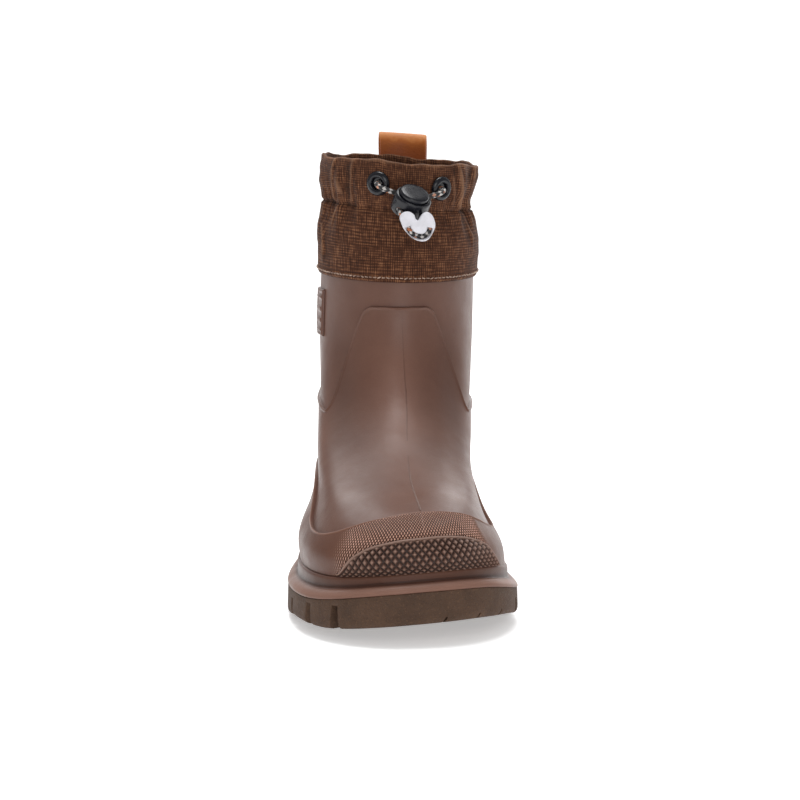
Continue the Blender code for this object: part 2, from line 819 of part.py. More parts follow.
def build_badge():
    turns = np.linspace(BADGE_FRONT, BADGE_BACK, BADGE_COLUMNS)
    low = level_at(turns, np.full(BADGE_COLUMNS, BADGE_LOW))
    high = level_at(turns, np.full(BADGE_COLUMNS, BADGE_HIGH))
    shares = [0.0, BADGE_RIM, 0.5, 1 - BADGE_RIM, 1.0]
    outside = between(low, high, shares[:1], BADGE_TOP - BADGE_ROUND)
    outside += between(low, high, shares[1:-1], BADGE_TOP)
    outside += between(low, high, shares[-1:], BADGE_TOP - BADGE_ROUND)
    inside = between(low, high, shares, GAP)
    layer("side_badge", turns, outside, inside, BROWN_RUBBER, closed=False)


def build_cuff():
    turns = np.arange(CUFF_TURNS) / CUFF_TURNS
    outside = []
    inside = []
    for k in range(CUFF_ROWS + 1):
        level = np.full(CUFF_TURNS, HEM_LEVEL + (RIM_LEVEL - HEM_LEVEL) * k / CUFF_ROWS)
        stand = fold_height(turns, upper_point(turns, level)[:, 2])
        inside.append((level, GAP + stand))
        outside.append((level, GAP + CLOTH + stand))
    cuff = layer("cuff", turns, outside, inside, BROWN_CLOTH)
    for eyelet in EYELETS:
        place = eyelet_place(eyelet)
        ends = [place @ Vector((0, 0, -EYELET_RADIUS)), place @ Vector((0, 0, EYELET_RADIUS))]
        name = "eyelet_hole_" + eyelet.name
        cut(cuff, tube(name, ends, EYELET_BARREL + GAP, CUTTER_SIDES, BROWN_CLOTH, helper=True))


def eyelet_place(eyelet):
    """Frame of an eyelet: on the cuff's outer face, its Z axis straight out."""
    turn = np.array([eyelet.turn])
    level = level_at(turn, np.array([eyelet.height]))
    spot = Vector(lifted(turn, level, GAP + CLOTH)[0])
    outward = Vector(upper_normal(turn, level)[0])
    return Matrix.Translation(spot) @ outward.to_track_quat("Z", "X").to_matrix().to_4x4()


def build_eyelets():
    profile = [
        (EYELET_BORE, -CLOTH - EYELET_BEHIND),
        (EYELET_BARREL, -CLOTH - EYELET_BEHIND),
        (EYELET_BARREL, GAP),
        (EYELET_RADIUS, GAP),
        (EYELET_RADIUS, EYELET_RIM),
        (EYELET_RADIUS - EYELET_ROUND, EYELET_PROUD),
        (EYELET_BORE + EYELET_LIP, EYELET_PROUD),
        (EYELET_BORE, EYELET_PROUD - EYELET_LIP),
    ]
    for eyelet in EYELETS:
        turned("eyelet_" + eyelet.name, profile, EYELET_STEPS, eyelet_place(eyelet), BLACK_PLASTIC)


def lock_frame():
    """Frame of the cord lock: its Z axis is the button's, and its holes run along Y."""
    ahead = math.sin(LOCK_LEAN)
    rise = math.cos(LOCK_LEAN)
    axis = Vector((math.sin(LOCK_ROLL) * rise, -ahead, math.cos(LOCK_ROLL) * rise))
    across = (Vector((1, 0, 0)) - axis * axis.x).normalized()
    turn = Matrix((across, axis.cross(across), axis)).transposed()
    return Matrix.Translation(LOCK_CENTRE) @ turn.to_4x4()


def build_lock():
    place = lock_frame()
    rows = []
    for ring in LOCK_RINGS:
        row = []
        for k in range(LOCK_STEPS):
            angle = 2 * math.pi * k / LOCK_STEPS
            spot = (ring.half_x * math.cos(angle), ring.half_y * math.sin(angle), ring.height)
            row.append(place @ Vector(spot))
        rows.append(np.array(row))
    barrel = stack("cord_lock_barrel", rows, BLACK_PLASTIC)
    bore = [place @ Vector((0, 0, BORE_FLOOR)), place @ Vector((0, 0, CUTTER_REACH))]
    cut(barrel, tube("lock_bore", bore, LOCK_BORE, LOCK_STEPS, BLACK_PLASTIC, helper=True))
    for eyelet, side in zip(EYELETS, (-1, 1)):
        reach = (-CUTTER_REACH, CUTTER_REACH)
        ends = [place @ Vector((side * HOLE_SPREAD, end, HOLE_HEIGHT)) for end in reach]
        name = "lock_hole_" + eyelet.name
        cut(barrel, tube(name, ends, LOCK_HOLE, CUTTER_SIDES, BLACK_PLASTIC, helper=True))
    profile = [
        (0.0, BUTTON_LOW),
        (BUTTON_RADIUS, BUTTON_LOW),
        (BUTTON_RADIUS, BUTTON_HIGH - BUTTON_ROUND),
        (BUTTON_RADIUS - BUTTON_ROUND, BUTTON_HIGH),
        (0.0, BUTTON_HIGH),
    ]
    turned("cord_lock_button", profile, LOCK_STEPS, place, BLACK_PLASTIC)


def clip_frame():
    """Frame of the end clip: X across, Y up to its lobes, Z out of its front."""
    turn = Matrix(((1, 0, 0), (0, 0, -1), (0, 1, 0)))
    return Matrix.Translation(CLIP_CENTRE) @ turn.to_4x4()


def clip_bend():
    """Path of the cord's loop inside the clip, from the outer lobe round to the inner lobe."""
    place = clip_frame()
    return [place @ Vector((row.across, row.up, 0)) for row in CLIP_LOOP]


def build_clip():
    place = clip_frame()
    outline = [(row.across, row.up) for row in CLIP_OUTLINE]
    count = len(outline)
    points = []
    for depth in (-CLIP_THICK / 2, CLIP_THICK / 2):
        points += [place @ Vector((across, up, depth)) for across, up in outline]
    faces = [tuple(range(count)), tuple(range(count, 2 * count))] + ring_faces(count, 0, count)
    clip = add_mesh("cord_end_clip", points, faces, CLEAR_PLASTIC)
    rounding = clip.modifiers.new("rounding", "BEVEL")
    rounding.width = CLIP_ROUND * MM
    rounding.segments = 1
    rounding.angle_limit = math.radians(60)
    inside = place.inverted()
    channel = [point for point in cord_path() if (inside @ Vector(point)).y < CLIP_TOP]
    bore = CORD_RADIUS + GAP
    cut(clip, tube("clip_channel", channel, bore, CLIP_SIDES, CLEAR_PLASTIC, helper=True))
    forward = place.to_3x3() @ Vector((0, 0, CLIP_WINDOW_DEEP))
    window = [point + forward for point in clip_bend()[1:-1]]
    cut(clip, tube("clip_window", window, CLIP_WINDOW, CLIP_SIDES, CLEAR_PLASTIC, helper=True))


def cord_path():
    """Path of the drawcord from behind one eyelet, through lock and clip, to behind the other."""
    lock = lock_frame()
    ways = []
    for eyelet, side in zip(EYELETS, (-1, 1)):
        place = eyelet_place(eyelet)
        door = lock @ Vector((side * HOLE_SPREAD, CORD_DOOR, HOLE_HEIGHT))
        aim = place.inverted() @ door
        aim = Vector((aim.x, aim.y, 0.0)).normalized()
        heights = (-CLOTH - CORD_BEHIND, -CLOTH, CORD_MOUTH)
        way = [place @ Vector((0, 0, height)) for height in heights]
        way += [place @ (aim * run.along + Vector((0, 0, run.height))) for run in CORD_RUNS]
        middle = (way[-1] + door) / 2
        way += [middle + Vector((0, -CORD_BOW, 0)), door]
        ends = (CORD_IN, 0.0, CORD_OUT)
        way += [lock @ Vector((side * HOLE_SPREAD, end, HOLE_HEIGHT)) for end in ends]
        ways.append(way)
    return rounded(ways[0] + clip_bend() + ways[1][::-1])


def rounded(knots):
    """Points of a smooth curve through the knots."""
    knots = np.array([tuple(knot) for knot in knots])
    lengths = np.linalg.norm(np.diff(knots, axis=0), axis=1)
    places = np.concatenate([[0.0], np.cumsum(lengths)])
    at = []
    for k in range(len(knots) - 1):
        share = max(1, min(CORD_PIECES, round(lengths[k] / CORD_SPACE)))
        at += list(places[k] + lengths[k] * np.arange(share) / share)
    at.append(places[-1])
    return np.stack([smooth(places, knots[:, axis], at) for axis in range(3)], axis=-1)


def build_cord():
    tube("drawcord", cord_path(), CORD_RADIUS, CORD_SIDES, BLACK_CORD)


def build_pull_loop():
    rise = np.array([row.rise for row in STRAP])
    lift = np.array([row.lift for row in STRAP])
    ahead = np.stack([np.gradient(rise), np.gradient(lift)], axis=-1)
    ahead = ahead / np.linalg.norm(ahead, axis=-1, keepdims=True)
    sides = [(rise - ahead[:, 1] * LEATHER / 2, lift + ahead[:, 0] * LEATHER / 2),
             (rise + ahead[:, 1] * LEATHER / 2, lift - ahead[:, 0] * LEATHER / 2)]
    places = np.linspace(-0.5, 0.5, STRAP_COLUMNS) * STRAP_WIDTH + STRAP_CENTRE
    rim = LOOPS[-1]
    rows = []
    for k in range(len(STRAP)):
        row = []
        for high, out in ((sides[0][0][k], sides[0][1][k]), (sides[1][0][k], sides[1][1][k])):
            turns = -np.arcsin((places - rim.shift) / (rim.half + out)) / (2 * math.pi)
            heights = rim.back_z + min(high, 0.0) + rim.tilt * (places - rim.shift)
            levels = np.minimum(level_at(turns, heights), RIM_LEVEL)
            points = lifted(turns, levels, out)
            points[:, 2] = points[:, 2] + max(high, 0.0)
            row.append(points)
        rows.append(np.concatenate([row[0], row[1][::-1]]))
    count = 2 * STRAP_COLUMNS
    faces = []
    for k in range(len(rows) - 1):
        faces += ring_faces(count, count * k, count * (k + 1))
    for first in (0, count * (len(rows) - 1)):
        for i in range(STRAP_COLUMNS - 1):
            faces.append((first + i, first + i + 1, first + count - i - 2, first + count - i - 1))
    add_mesh("pull_loop", np.concatenate(rows), faces, TAN_LEATHER)


def main():
    remove_all()
    build_outsole()
    build_midsole()
    build_insole()
    build_upper()
    build_mudguard()
    build_bumper()
    build_badge()
    build_cuff()
    build_pull_loop()
    build_eyelets()
    build_lock()
    build_clip()
    build_cord()


if __name__ == "__main__":
    main()
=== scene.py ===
"""Looks of the winter boot: its pieces in fine detail, their materials, the light and the camera."""
import math
from collections import namedtuple

import bmesh
import bpy
import numpy as np
from mathutils import Matrix, Vector


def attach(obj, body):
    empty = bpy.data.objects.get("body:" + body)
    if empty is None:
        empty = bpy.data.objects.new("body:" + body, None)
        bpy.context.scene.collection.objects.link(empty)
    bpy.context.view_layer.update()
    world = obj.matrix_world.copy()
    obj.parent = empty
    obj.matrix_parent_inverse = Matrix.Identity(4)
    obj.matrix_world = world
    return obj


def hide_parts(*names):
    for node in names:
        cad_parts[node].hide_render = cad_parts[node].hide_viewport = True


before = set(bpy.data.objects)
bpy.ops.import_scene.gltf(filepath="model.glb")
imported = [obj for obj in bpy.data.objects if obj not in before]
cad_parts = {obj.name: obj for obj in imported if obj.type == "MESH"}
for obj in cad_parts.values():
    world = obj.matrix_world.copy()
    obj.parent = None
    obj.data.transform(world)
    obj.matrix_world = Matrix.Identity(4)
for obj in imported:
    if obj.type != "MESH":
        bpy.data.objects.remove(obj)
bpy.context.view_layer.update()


def table(columns, *rows):
    """Rows of a table with named columns."""
    row = namedtuple("Row", columns)
    return [row(*values) for values in rows]


# Lengths are in millimetres up to the mesh; MM turns them into metres
MM = 0.001
GAP = 0.3
WELD = 0.01

# Sole
SOLE_LENGTH = 226.0
TOE_ROUND = 58.0
TOE_BLUNT = 2.35
HEEL_ROUND = 42.0
HEEL_BLUNT = 2.2
TOE_SKEW = 0.14
SKEW_FROM = 0.55
SKEW_RUN = 0.30
TOE_TWIST = 0.075
TWIST_FROM = 0.76
TWIST_RUN = 0.22
TREAD_EDGE = 1.6
TREAD_ROUND = 2.0
GROOVE_DEPTH = 7.0
GROOVE_MOUTH = 5.0
GROOVE_FLOOR = 3.4
GROOVE_OVERRUN = 6.0
GROOVE_UNDER = 3.0
GROOVE_TAPER = 0.8

# Upper
UPPER_INSET = 7.5
WALL = 2.4
RUBBER_TOP = 9.0
VAMP_STEP = 0.9
VAMP_LEAN = -0.008
SLOPE_TURN = 0.002
SLOPE_LEVEL = 0.02
LEVEL_STEPS = 521

# Layers laid on the upper, as heights over its outer face
MUDGUARD_TOP = 2.2
MUDGUARD_FOOT = 0.02
BUMPER_FOOT = 0.06
BUMPER_LEAST = 0.20
BADGE_TOP = 1.2
BADGE_FRONT = 0.298
BADGE_BACK = 0.238
BADGE_LOW = 108.5
BADGE_HIGH = 128.5

# Insole
INSOLE_THICK = 5.0
INSOLE_INSET = UPPER_INSET + WALL + 0.8

# Cuff
HEM_LEVEL = 8.78
RIM_LEVEL = 13.0
CLOTH = 1.4
FOLD_START = 10.0
FOLD_END = 8.0

# Cord and its fittings
CORD_RADIUS = 1.1
CORD_BEHIND = 2.6
CORD_MOUTH = 0.6
CORD_DOOR = 7.0
CORD_IN = 4.4
CORD_OUT = -5.4
CORD_BOW = 0.5
EYELET_BORE = 2.4
EYELET_BARREL = 3.4
LOCK_CENTRE = Vector((5.6, -9.6, 167.3))
LOCK_LEAN = math.radians(30.0)
LOCK_ROLL = math.radians(18.0)
LOCK_BORE = 6.6
BORE_FLOOR = 1.0
HOLE_SPREAD = 4.9
HOLE_HEIGHT = -1.0
LOCK_HOLE = 1.6
CLIP_CENTRE = Vector((7.9, -19.0, 158.6))
CLIP_THICK = 5.2
CLIP_TOP = 9.0
CLIP_WINDOW = 1.5
CLIP_WINDOW_DEEP = 2.0

# Pull loop
STRAP_WIDTH = 20.0
STRAP_CENTRE = 8.4
LEATHER = 1.6

PLAN = table(
    "along centre half",
    (0.00, 1.0, 36.0), (0.18, 1.0, 37.6), (0.42, -0.9, 38.6), (0.67, -0.9, 46.2), (0.84, 1.6, 45.2),
    (1.00, 4.6, 42.0),
)

TREAD = table(
    "along height",
    (0.00, 3.0), (0.05, 0.0), (0.30, 0.0), (0.335, 5.0), (0.43, 5.0), (0.49, 0.0), (0.66, 0.0), (0.74, 2.6),
    (0.78, 4.1), (0.845, 5.7), (0.92, 7.0), (1.00, 9.2),
)

SEATS = table(
    "along outsole feather",
    (0.00, 19.5, 31.0), (0.25, 18.6, 30.0), (0.50, 15.2, 25.6), (0.72, 13.6, 22.9), (0.88, 17.0, 25.6),
    (1.00, 21.8, 29.2),
)

GROOVES = table(
    "side along reach shift",
    (-1, 0.15, 24.0, 5.0), (-1, 0.235, 24.0, 5.0), (1, 0.13, 24.0, 5.0), (1, 0.215, 24.0, 5.0),
    (-1, 0.555, 31.0, -9.0), (-1, 0.66, 33.0, -9.0), (-1, 0.76, 33.0, -9.0), (-1, 0.858, 28.0, 0.0),
    (-1, 0.929, 16.0, 24.0), (1, 0.57, 31.0, -9.0), (1, 0.66, 33.0, -9.0), (1, 0.755, 31.0, -3.0),
    (1, 0.85, 28.0, 8.0),
)

LOOPS = table(
    "front_y front_z back_y back_z half plan droop shift tilt",
    (-105.5, 29.5, 105.5, 31.3, 38.7, 1.00, 1.00, 0.0, 0.000),
    (-106.4, 36.2, 107.0, 44.0, 38.2, 1.00, 0.90, -1.0, 0.000),
    (-102.5, 43.2, 106.0, 58.0, 33.6, 0.95, 0.70, -1.2, 0.000),
    (-91.0, 48.4, 102.5, 72.0, 31.4, 0.85, 0.50, -1.1, 0.000),
    (-66.0, 55.6, 99.5, 85.0, 31.3, 0.65, 0.30, -1.3, 0.000),
    (-41.0, 67.0, 97.5, 96.0, 32.4, 0.40, 0.15, 0.2, 0.000),
    (-20.0, 82.5, 96.5, 106.0, 33.2, 0.20, 0.05, 1.5, 0.000),
    (-7.5, 99.5, 96.3, 116.0, 33.5, 0.05, 0.00, 2.2, 0.000),
    (-2.2, 117.0, 96.4, 126.0, 33.5, 0.00, 0.00, 2.6, 0.000),
    (-1.0, 138.0, 96.6, 139.0, 33.3, 0.00, 0.00, 3.2, -0.020),
    (-0.4, 150.0, 97.3, 151.0, 33.2, 0.00, 0.00, 3.6, -0.045),
    (1.0, 164.5, 95.4, 165.0, 29.8, 0.00, 0.00, 3.2, -0.060),
    (-0.8, 174.5, 97.0, 174.5, 32.0, 0.00, 0.00, 3.9, -0.065),
    (-1.0, 184.0, 97.2, 184.0, 32.4, 0.00, 0.00, 4.1, -0.070),
)

VAMP_EDGE = table(
    "turn height",
    (0.000, 92.0), (0.140, 89.0), (0.250, 84.5), (0.290, 82.5), (0.326, 79.6), (0.338, 79.4), (0.350, 81.8),
    (0.380, 97.0), (0.415, 115.5), (0.427, 120.8), (0.440, 123.2), (0.460, 123.6), (0.500, 123.6),
    (0.540, 123.6),
)
MUDGUARD_EDGE = table(
    "turn height",
    (0.000, 66.0), (0.120, 65.0), (0.230, 62.0), (0.285, 56.5), (0.305, 48.8), (0.320, 41.8), (0.335, 39.2),
    (0.360, 38.6), (0.374, 39.4), (0.390, 41.2), (0.410, 43.6), (0.432, 45.6), (0.455, 46.8), (0.480, 47.6),
    (0.500, 47.9), (0.520, 47.6),
)
BUMPER_EDGE = table(
    "turn height",
    (0.408, 27.3), (0.420, 32.2), (0.435, 36.0), (0.451, 38.5), (0.468, 39.8), (0.481, 40.4), (0.500, 40.6),
    (0.520, 40.4), (0.542, 39.4), (0.556, 38.2), (0.570, 36.3), (0.583, 33.5), (0.592, 30.4), (0.599, 27.4),
)

FOLDS = table(
    "turn span height low high",
    (0.350, 0.018, 1.5, 150.0, 186.0), (0.376, 0.016, -1.0, 156.0, 186.0), (0.402, 0.016, 1.1, 152.0, 184.0),
    (0.305, 0.026, -1.2, 150.0, 186.0), (0.255, 0.024, 1.5, 146.0, 184.0), (0.205, 0.024, -1.4, 150.0, 184.0),
    (0.155, 0.022, 1.4, 148.0, 186.0), (0.110, 0.022, -1.0, 150.0, 180.0), (0.890, 0.022, -1.0, 150.0, 180.0),
    (0.845, 0.022, 1.4, 148.0, 186.0), (0.795, 0.024, -1.4, 150.0, 184.0), (0.745, 0.022, 1.2, 146.0, 184.0),
    (0.700, 0.018, 1.6, 148.0, 186.0), (0.664, 0.018, -1.2, 152.0, 186.0), (0.630, 0.016, 1.4, 150.0, 186.0),
)

EYELETS = table(
    "name turn height",
    ("lateral", 0.4461, 175.8), ("medial", 0.5731, 173.6),
)

CORD_RUNS = table(
    "along height",
    (0.7, 2.5), (2.8, 3.5),
)

LOCK_RINGS = table(
    "half_x half_y height",
    (6.6, 5.6, -4.4), (7.7, 6.8, -3.4), (8.0, 7.1, -1.0), (7.9, 7.3, 2.0), (7.7, 7.3, 3.9), (7.3, 7.0, 4.4),
)

CLIP_OUTLINE = table(
    "across up",
    (0.2, 2.4), (1.1, 4.1), (2.6, 5.6), (4.1, 5.9), (5.6, 5.0), (6.7, 3.0), (7.2, 0.6), (6.6, -1.7),
    (5.4, -4.0), (3.8, -5.7), (1.9, -6.2), (0.1, -5.9), (-2.0, -5.0), (-4.2, -3.1), (-5.9, -0.9), (-7.0, 1.7),
    (-7.5, 3.7), (-6.7, 5.3), (-5.0, 6.1), (-3.2, 6.0), (-1.7, 5.0), (-0.7, 2.9),
)
CLIP_LOOP = table(
    "across up",
    (-4.4, 1.6), (-4.2, 0.0), (-3.5, -1.6), (-2.2, -3.0), (-0.4, -3.9), (1.6, -4.2), (3.4, -3.6), (4.6, -2.2),
    (5.0, -0.4), (4.7, 1.6),
)

STRAP = table(
    "rise lift",
    (-34.0, 3.0), (-28.0, 3.0), (-22.0, 3.0), (-16.0, 3.0), (-10.0, 3.0), (-4.0, 3.0), (3.0, 3.0), (7.5, 3.6),
    (9.8, 5.2), (10.4, 7.0), (9.2, 8.8), (5.6, 9.5), (1.0, 8.6), (-4.0, 6.6), (-10.0, 5.2), (-16.0, 5.0),
    (-22.0, 5.0), (-28.0, 5.0), (-34.0, 5.0),
)


# Looks only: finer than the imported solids
WELD_FINE = 0.002
WHITE = (1.0, 1.0, 1.0, 1.0)
BLACK = (0.0, 0.0, 0.0, 1.0)
MOST = (0.7, 0.7, 0.7, 1.0)
HIGHLIGHT_FULL_MARK = 0.95
FRONT_FROM = 0.28
FRONT_TO = 0.72
FRONT_STEP = 1 / 560
SIDE_STEP = 1 / 200
TURN_STEP = 0.001
ROW_CROWD = 1.15
SHAFT_ROWS = 30
INNER_ROWS = 40
RIDGE_STEPS = 120
RIDGE_ACROSS = (-0.42, -0.2, 0.0, 0.2, 0.42)
RIDGE_CROWN = (-0.25, 0.6, 1.0, 0.6, -0.25)
RIDGE_SINK = 0.02
RIDGE_DEEP = 0.12
RULER_STEPS = 2401
CLIMB_STEPS = 80
COARSE_STEP = 2.0
LEAST_FACE = 0.25
SOLE_STATIONS = 110
INSOLE_STATIONS = 60
LINING_COLUMNS = 240
LINING_ROWS = 60
LINING_FOOT = 1.2
LINING_SHORT = 0.02
LINING_ROUND = 280.0
LINING_RISE = 13.0
LINING_FACE = -WALL - 1.5
LINING_BACK = -WALL - 0.2
BADGE_COLUMNS = 60
BADGE_ROWS = 46
BADGE_WIDE = 18.0
BADGE_SEAT = 0.1
CUFF_COLUMNS = 460
CUFF_ROWS = 112
INNER_SKIP = 4
INNER_FOLLOW = 0.6
CROWN_RISE = 0.55
STITCH_SIDES = 6
STITCH_BOW = ((0.0, -0.5), (0.12, 0.25), (0.35, 0.6), (0.65, 0.6), (0.88, 0.25), (1.0, -0.5))
STRAP_STEPS = 110
STRAP_COLUMNS = 24
STRAP_ROUND = 0.15
STRAP_EDGE = 0.8
STRAP_FLANK = 0.3
STRAP_LIGHT_FROM = -2.0
STRAP_LIGHT_RUN = 12.0
EYELET_REACH = 1.0
LOCK_STEPS = 72
LOCK_ROWS = 34
LOCK_BEVEL = 0.22
BUTTON_STEPS = 64
BUTTON_ROWS = 60
EYELET_STEPS = 56
EYELET_ROWS = 40
CLIP_ROUND = 0.9
CLIP_STEPS = 120
CLIP_ROWS = 8
WINDOW_STEPS = 40
CUTTER_SIDES = 16
HOLE_SIDES = 24
HOLE_REACH = 6.0
CUT_REACH = 12.0
BORE_SIDES = 48
CORD_SIDES = 24
PATTERN = "pattern"
RIPPLE_WAVES = 5
SLANT_MOST = 3.0
UPPER_ROWS = 64
UNDER_ROWS = 8
KNURL_PITCH = 1.3
KNURL_RISE = 0.65
KNURL_HIGH = 0.6
GUARD_SEAT = 0.04
SMOOTH_MARK = 0.4
RELIEF_LIGHT_MARK = 0.08
KNURL_HALF = 0.36
KNURL_GAIN = 2.2
STUD_POWER = 1.25
KNURL_REACH = 62.0
KNURL_LEFT = -29.0
KNURL_RIGHT = 27.0
KNURL_FADE = 10.0
KNURL_STEPS = 4
KNURL_OVER_PATCH = (0.1, 0.5)
KNURL_UNDER_LIP = (0.6, 1.2)
STUD_PITCH = 2.78
STUD_BASE = 2.6
STUD_HIGH = 1.35
STUD_STEPS = 8
STUD_SLOPE = 0.80
STUD_UNDER_LIP = (0.7, 1.3)
BADGE_RIBS = 4
BADGE_RIB = 0.6
BADGE_ROUND = 0.5
BADGE_SUNK = 0.45
BADGE_FRAME = (1.0, 1.5)
BADGE_FIELD = (2.0, 2.6)
NICK_WIDE = 0.9
NICK_DEEP = 3.0
NICK_HIGH = 2.0
TREAD_BEVEL = 0.3
BOX_SIDES = [(0, 1, 3, 2), (4, 6, 7, 5), (0, 4, 5, 1), (2, 3, 7, 6), (0, 2, 6, 4), (1, 5, 7, 3)]
CUFF_ROUND = 258.0
WEAVE_PITCH = 1.1
CUFF_RISE = 11.8
GATHER_HEIGHT = 164.8
GATHER_TILT = 2.0
PUCKERS = 46
PUCKER_HIGH = 0.5
PUCKER_REACH = 7.0
PUCKER_SWAY = ((1.4, 7), (0.8, 17))
FRONT_CALM = 0.35
CALM_TO = (0.06, 0.16)
SEAM_DEEP = 0.9
SEAM_WIDE = 0.9
CREASE_SHADE = 1.9
CREASE_STEEP = 1.5
CREASE_START = (-3.0, 4.0)
CREASE_END = (-2.0, 2.5)
CREASE_FULL = 1.2
CREASE_WEAR_AND_HIGHLIGHT = 0.7
CREASE_PAINTED_SHADE = 0.3
FOLD_FULL = 1.5
FOLD_WEAR_AND_HIGHLIGHT = 0.18
FOLD_PAINTED_SHADE = 0.25
PUCKER_PALE = 0.22
PUCKER_PALE_REACH = 4.0
SEAM_DARKER = 0.5
SEAM_DARK = 1.2
PINCH_TURN = 0.735
PINCH_SPAN = 0.055
PINCH_HEIGHT = 169.5
PINCH_UP = 8.0
PINCH_DOWN = 5.5
PINCH_DEEP = 3.0
RIM_WAVES = ((5, 0.7, 0.5), (11, 2.1, 0.3), (23, 0.4, 0.14))
RIM_WAVES_FROM = 0.75
RIM_WEAR = 0.6
RIM_WORN = (0.972, 0.992)
RIM_PATCHY = 0.45
RIM_BLOT = 11.0
RIM_SEED = 4.0
HEM_FLAT = 138.0
HEM_TUCK = -0.6
HEM_ROLL = 1.2
HEM_STITCHES = 118
HEM_ROW = 1.9
STITCH_JOG = ((0.18, 5.3), (0.12, 2.1))
STITCH_SPAN = (0.14, 0.76)
THREAD = 0.55
CORD_STEPS = 456
BRAID_PITCH = 1.7
BRAID_STRANDS = 4
BRAID_DEEP = 0.1
FLECK_LEAST = 0.2
BACKDROP_LEFT = -1.0
EYELET_SHADE_WASHER = 1.3

TUFTS = table(
    "high size seed",
    (0.35, 4.0, 1.0), (0.2, 1.7, 2.0),
)
CUFF_UNEVEN = table(
    "high size seed",
    (0.16, 9.0, 0.6), (0.07, 3.5, 2.2),
)

NICKS = table(
    "turn tall lean",
    (0.5155, 2.0, 0.45), (0.5520, 2.0, 0.40), (0.5853, 2.4, 0.30),
)

RELIEF = table(
    "turn span height reach rise",
    (0.490, 0.036, 86.0, 24.0, 1.7), (0.374, 0.040, 88.0, 24.0, -1.3), (0.602, 0.040, 88.0, 24.0, -1.2),
    (0.325, 0.024, 68.0, 12.0, 0.6), (0.672, 0.024, 68.0, 12.0, 0.6),
)

LIP = table(
    "off share",
    (-1.70, 1.00), (-1.20, 1.02), (-0.90, 1.18), (-0.65, 1.50), (-0.42, 1.56), (-0.20, 1.22), (-0.04, 0.75),
    (0.06, 0.25), (0.18, 0.02), (0.60, 0.00),
)

# The mark column paints a highlight along the guard's lip
GUARD_LIP = table(
    "off stand mark",
    (-1.30, 0.00, 0.40), (-0.95, 0.05, 0.42), (-0.65, 0.18, 0.46), (-0.40, 0.24, 0.50), (-0.18, 0.16, 0.48),
    (-0.04, -0.10, 0.42), (0.00, -0.45, 0.40), (0.00, -0.80, 0.40),
)
# The mark column paints a highlight along the bumper's lip and a little shade at its foot
PATCH_LIP = table(
    "off stand mark",
    (-1.20, 0.00, 0.30), (-0.95, 0.35, 0.50), (-0.70, 0.60, 0.80), (-0.40, 0.65, 0.90), (-0.15, 0.45, 0.80),
    (-0.02, 0.10, 0.50), (0.00, -0.15, 0.40),
)

PARTING_UPPER = table(
    "height turn stand",
    (123.4, 0.4980, 0.05), (109.9, 0.5005, 0.06), (93.5, 0.5020, 0.08), (82.3, 0.5025, 0.12),
    (71.2, 0.5010, 0.06), (66.3, 0.5010, 0.00), (62.9, 0.5010, 0.12), (56.9, 0.5020, 0.26),
    (52.7, 0.5045, 0.28), (48.6, 0.5055, 0.28),
)
PARTING_GUARD = table(
    "height turn stand",
    (48.0, 0.5055, 0.12), (46.0, 0.5045, 0.30), (44.8, 0.5040, 0.32), (43.0, 0.5038, 0.32),
    (41.4, 0.5036, 0.30),
)

CREASES = table(
    "turn_top turn_mid turn_low top low wide high",
    (0.3420, 0.3230, 0.3295, 186.0, 167.6, 1.6, 1.1), (0.3905, 0.3850, 0.3830, 184.5, 166.4, 1.5, 1.0),
    (0.3540, 0.3580, 0.3620, 177.0, 170.4, 1.4, 0.9), (0.3470, 0.3370, 0.3255, 164.7, 156.2, 1.6, 1.0),
    (0.2820, 0.3150, 0.3025, 156.0, 141.5, 1.8, 1.0), (0.6150, 0.6220, 0.6335, 181.7, 164.5, 1.6, 1.1),
    (0.5985, 0.6060, 0.6140, 178.9, 166.0, 1.4, 0.9), (0.6805, 0.6820, 0.6835, 183.0, 175.0, 1.5, 1.0),
    (0.6655, 0.6690, 0.6695, 162.3, 147.2, 1.7, 1.0), (0.2300, 0.2240, 0.2300, 183.0, 168.0, 1.7, 1.0),
    (0.1750, 0.1800, 0.1700, 162.0, 147.0, 1.8, 0.9), (0.1300, 0.1350, 0.1250, 184.0, 168.0, 1.6, 1.0),
    (0.8650, 0.8700, 0.8600, 184.0, 168.0, 1.6, 1.0), (0.8200, 0.8150, 0.8250, 162.0, 147.0, 1.8, 0.9),
    (0.7600, 0.7660, 0.7600, 183.0, 168.0, 1.7, 1.0),
)

MIDSOLE_PROFILE = table(
    "inset rise share",
    (0.45, 0.02, 0.0), (0.18, 0.22, 0.0), (0.08, 0.55, 0.0), (0.10, 0.95, 0.0), (0.32, 1.45, 0.0),
    (0.70, 2.00, 0.0), (1.20, 2.60, 0.0), (1.80, 3.15, 0.0), (2.50, 3.55, 0.0), (3.20, 3.80, 0.0),
    (3.80, 4.05, 0.0), (4.12, 4.50, 0.0), (4.22, 5.20, 0.0), (4.26, -2.40, 1.0), (4.30, -1.00, 1.0),
    (4.42, -0.35, 1.0), (4.70, 0.05, 1.0), (5.10, 0.28, 1.0), (5.80, 0.34, 1.0),
)

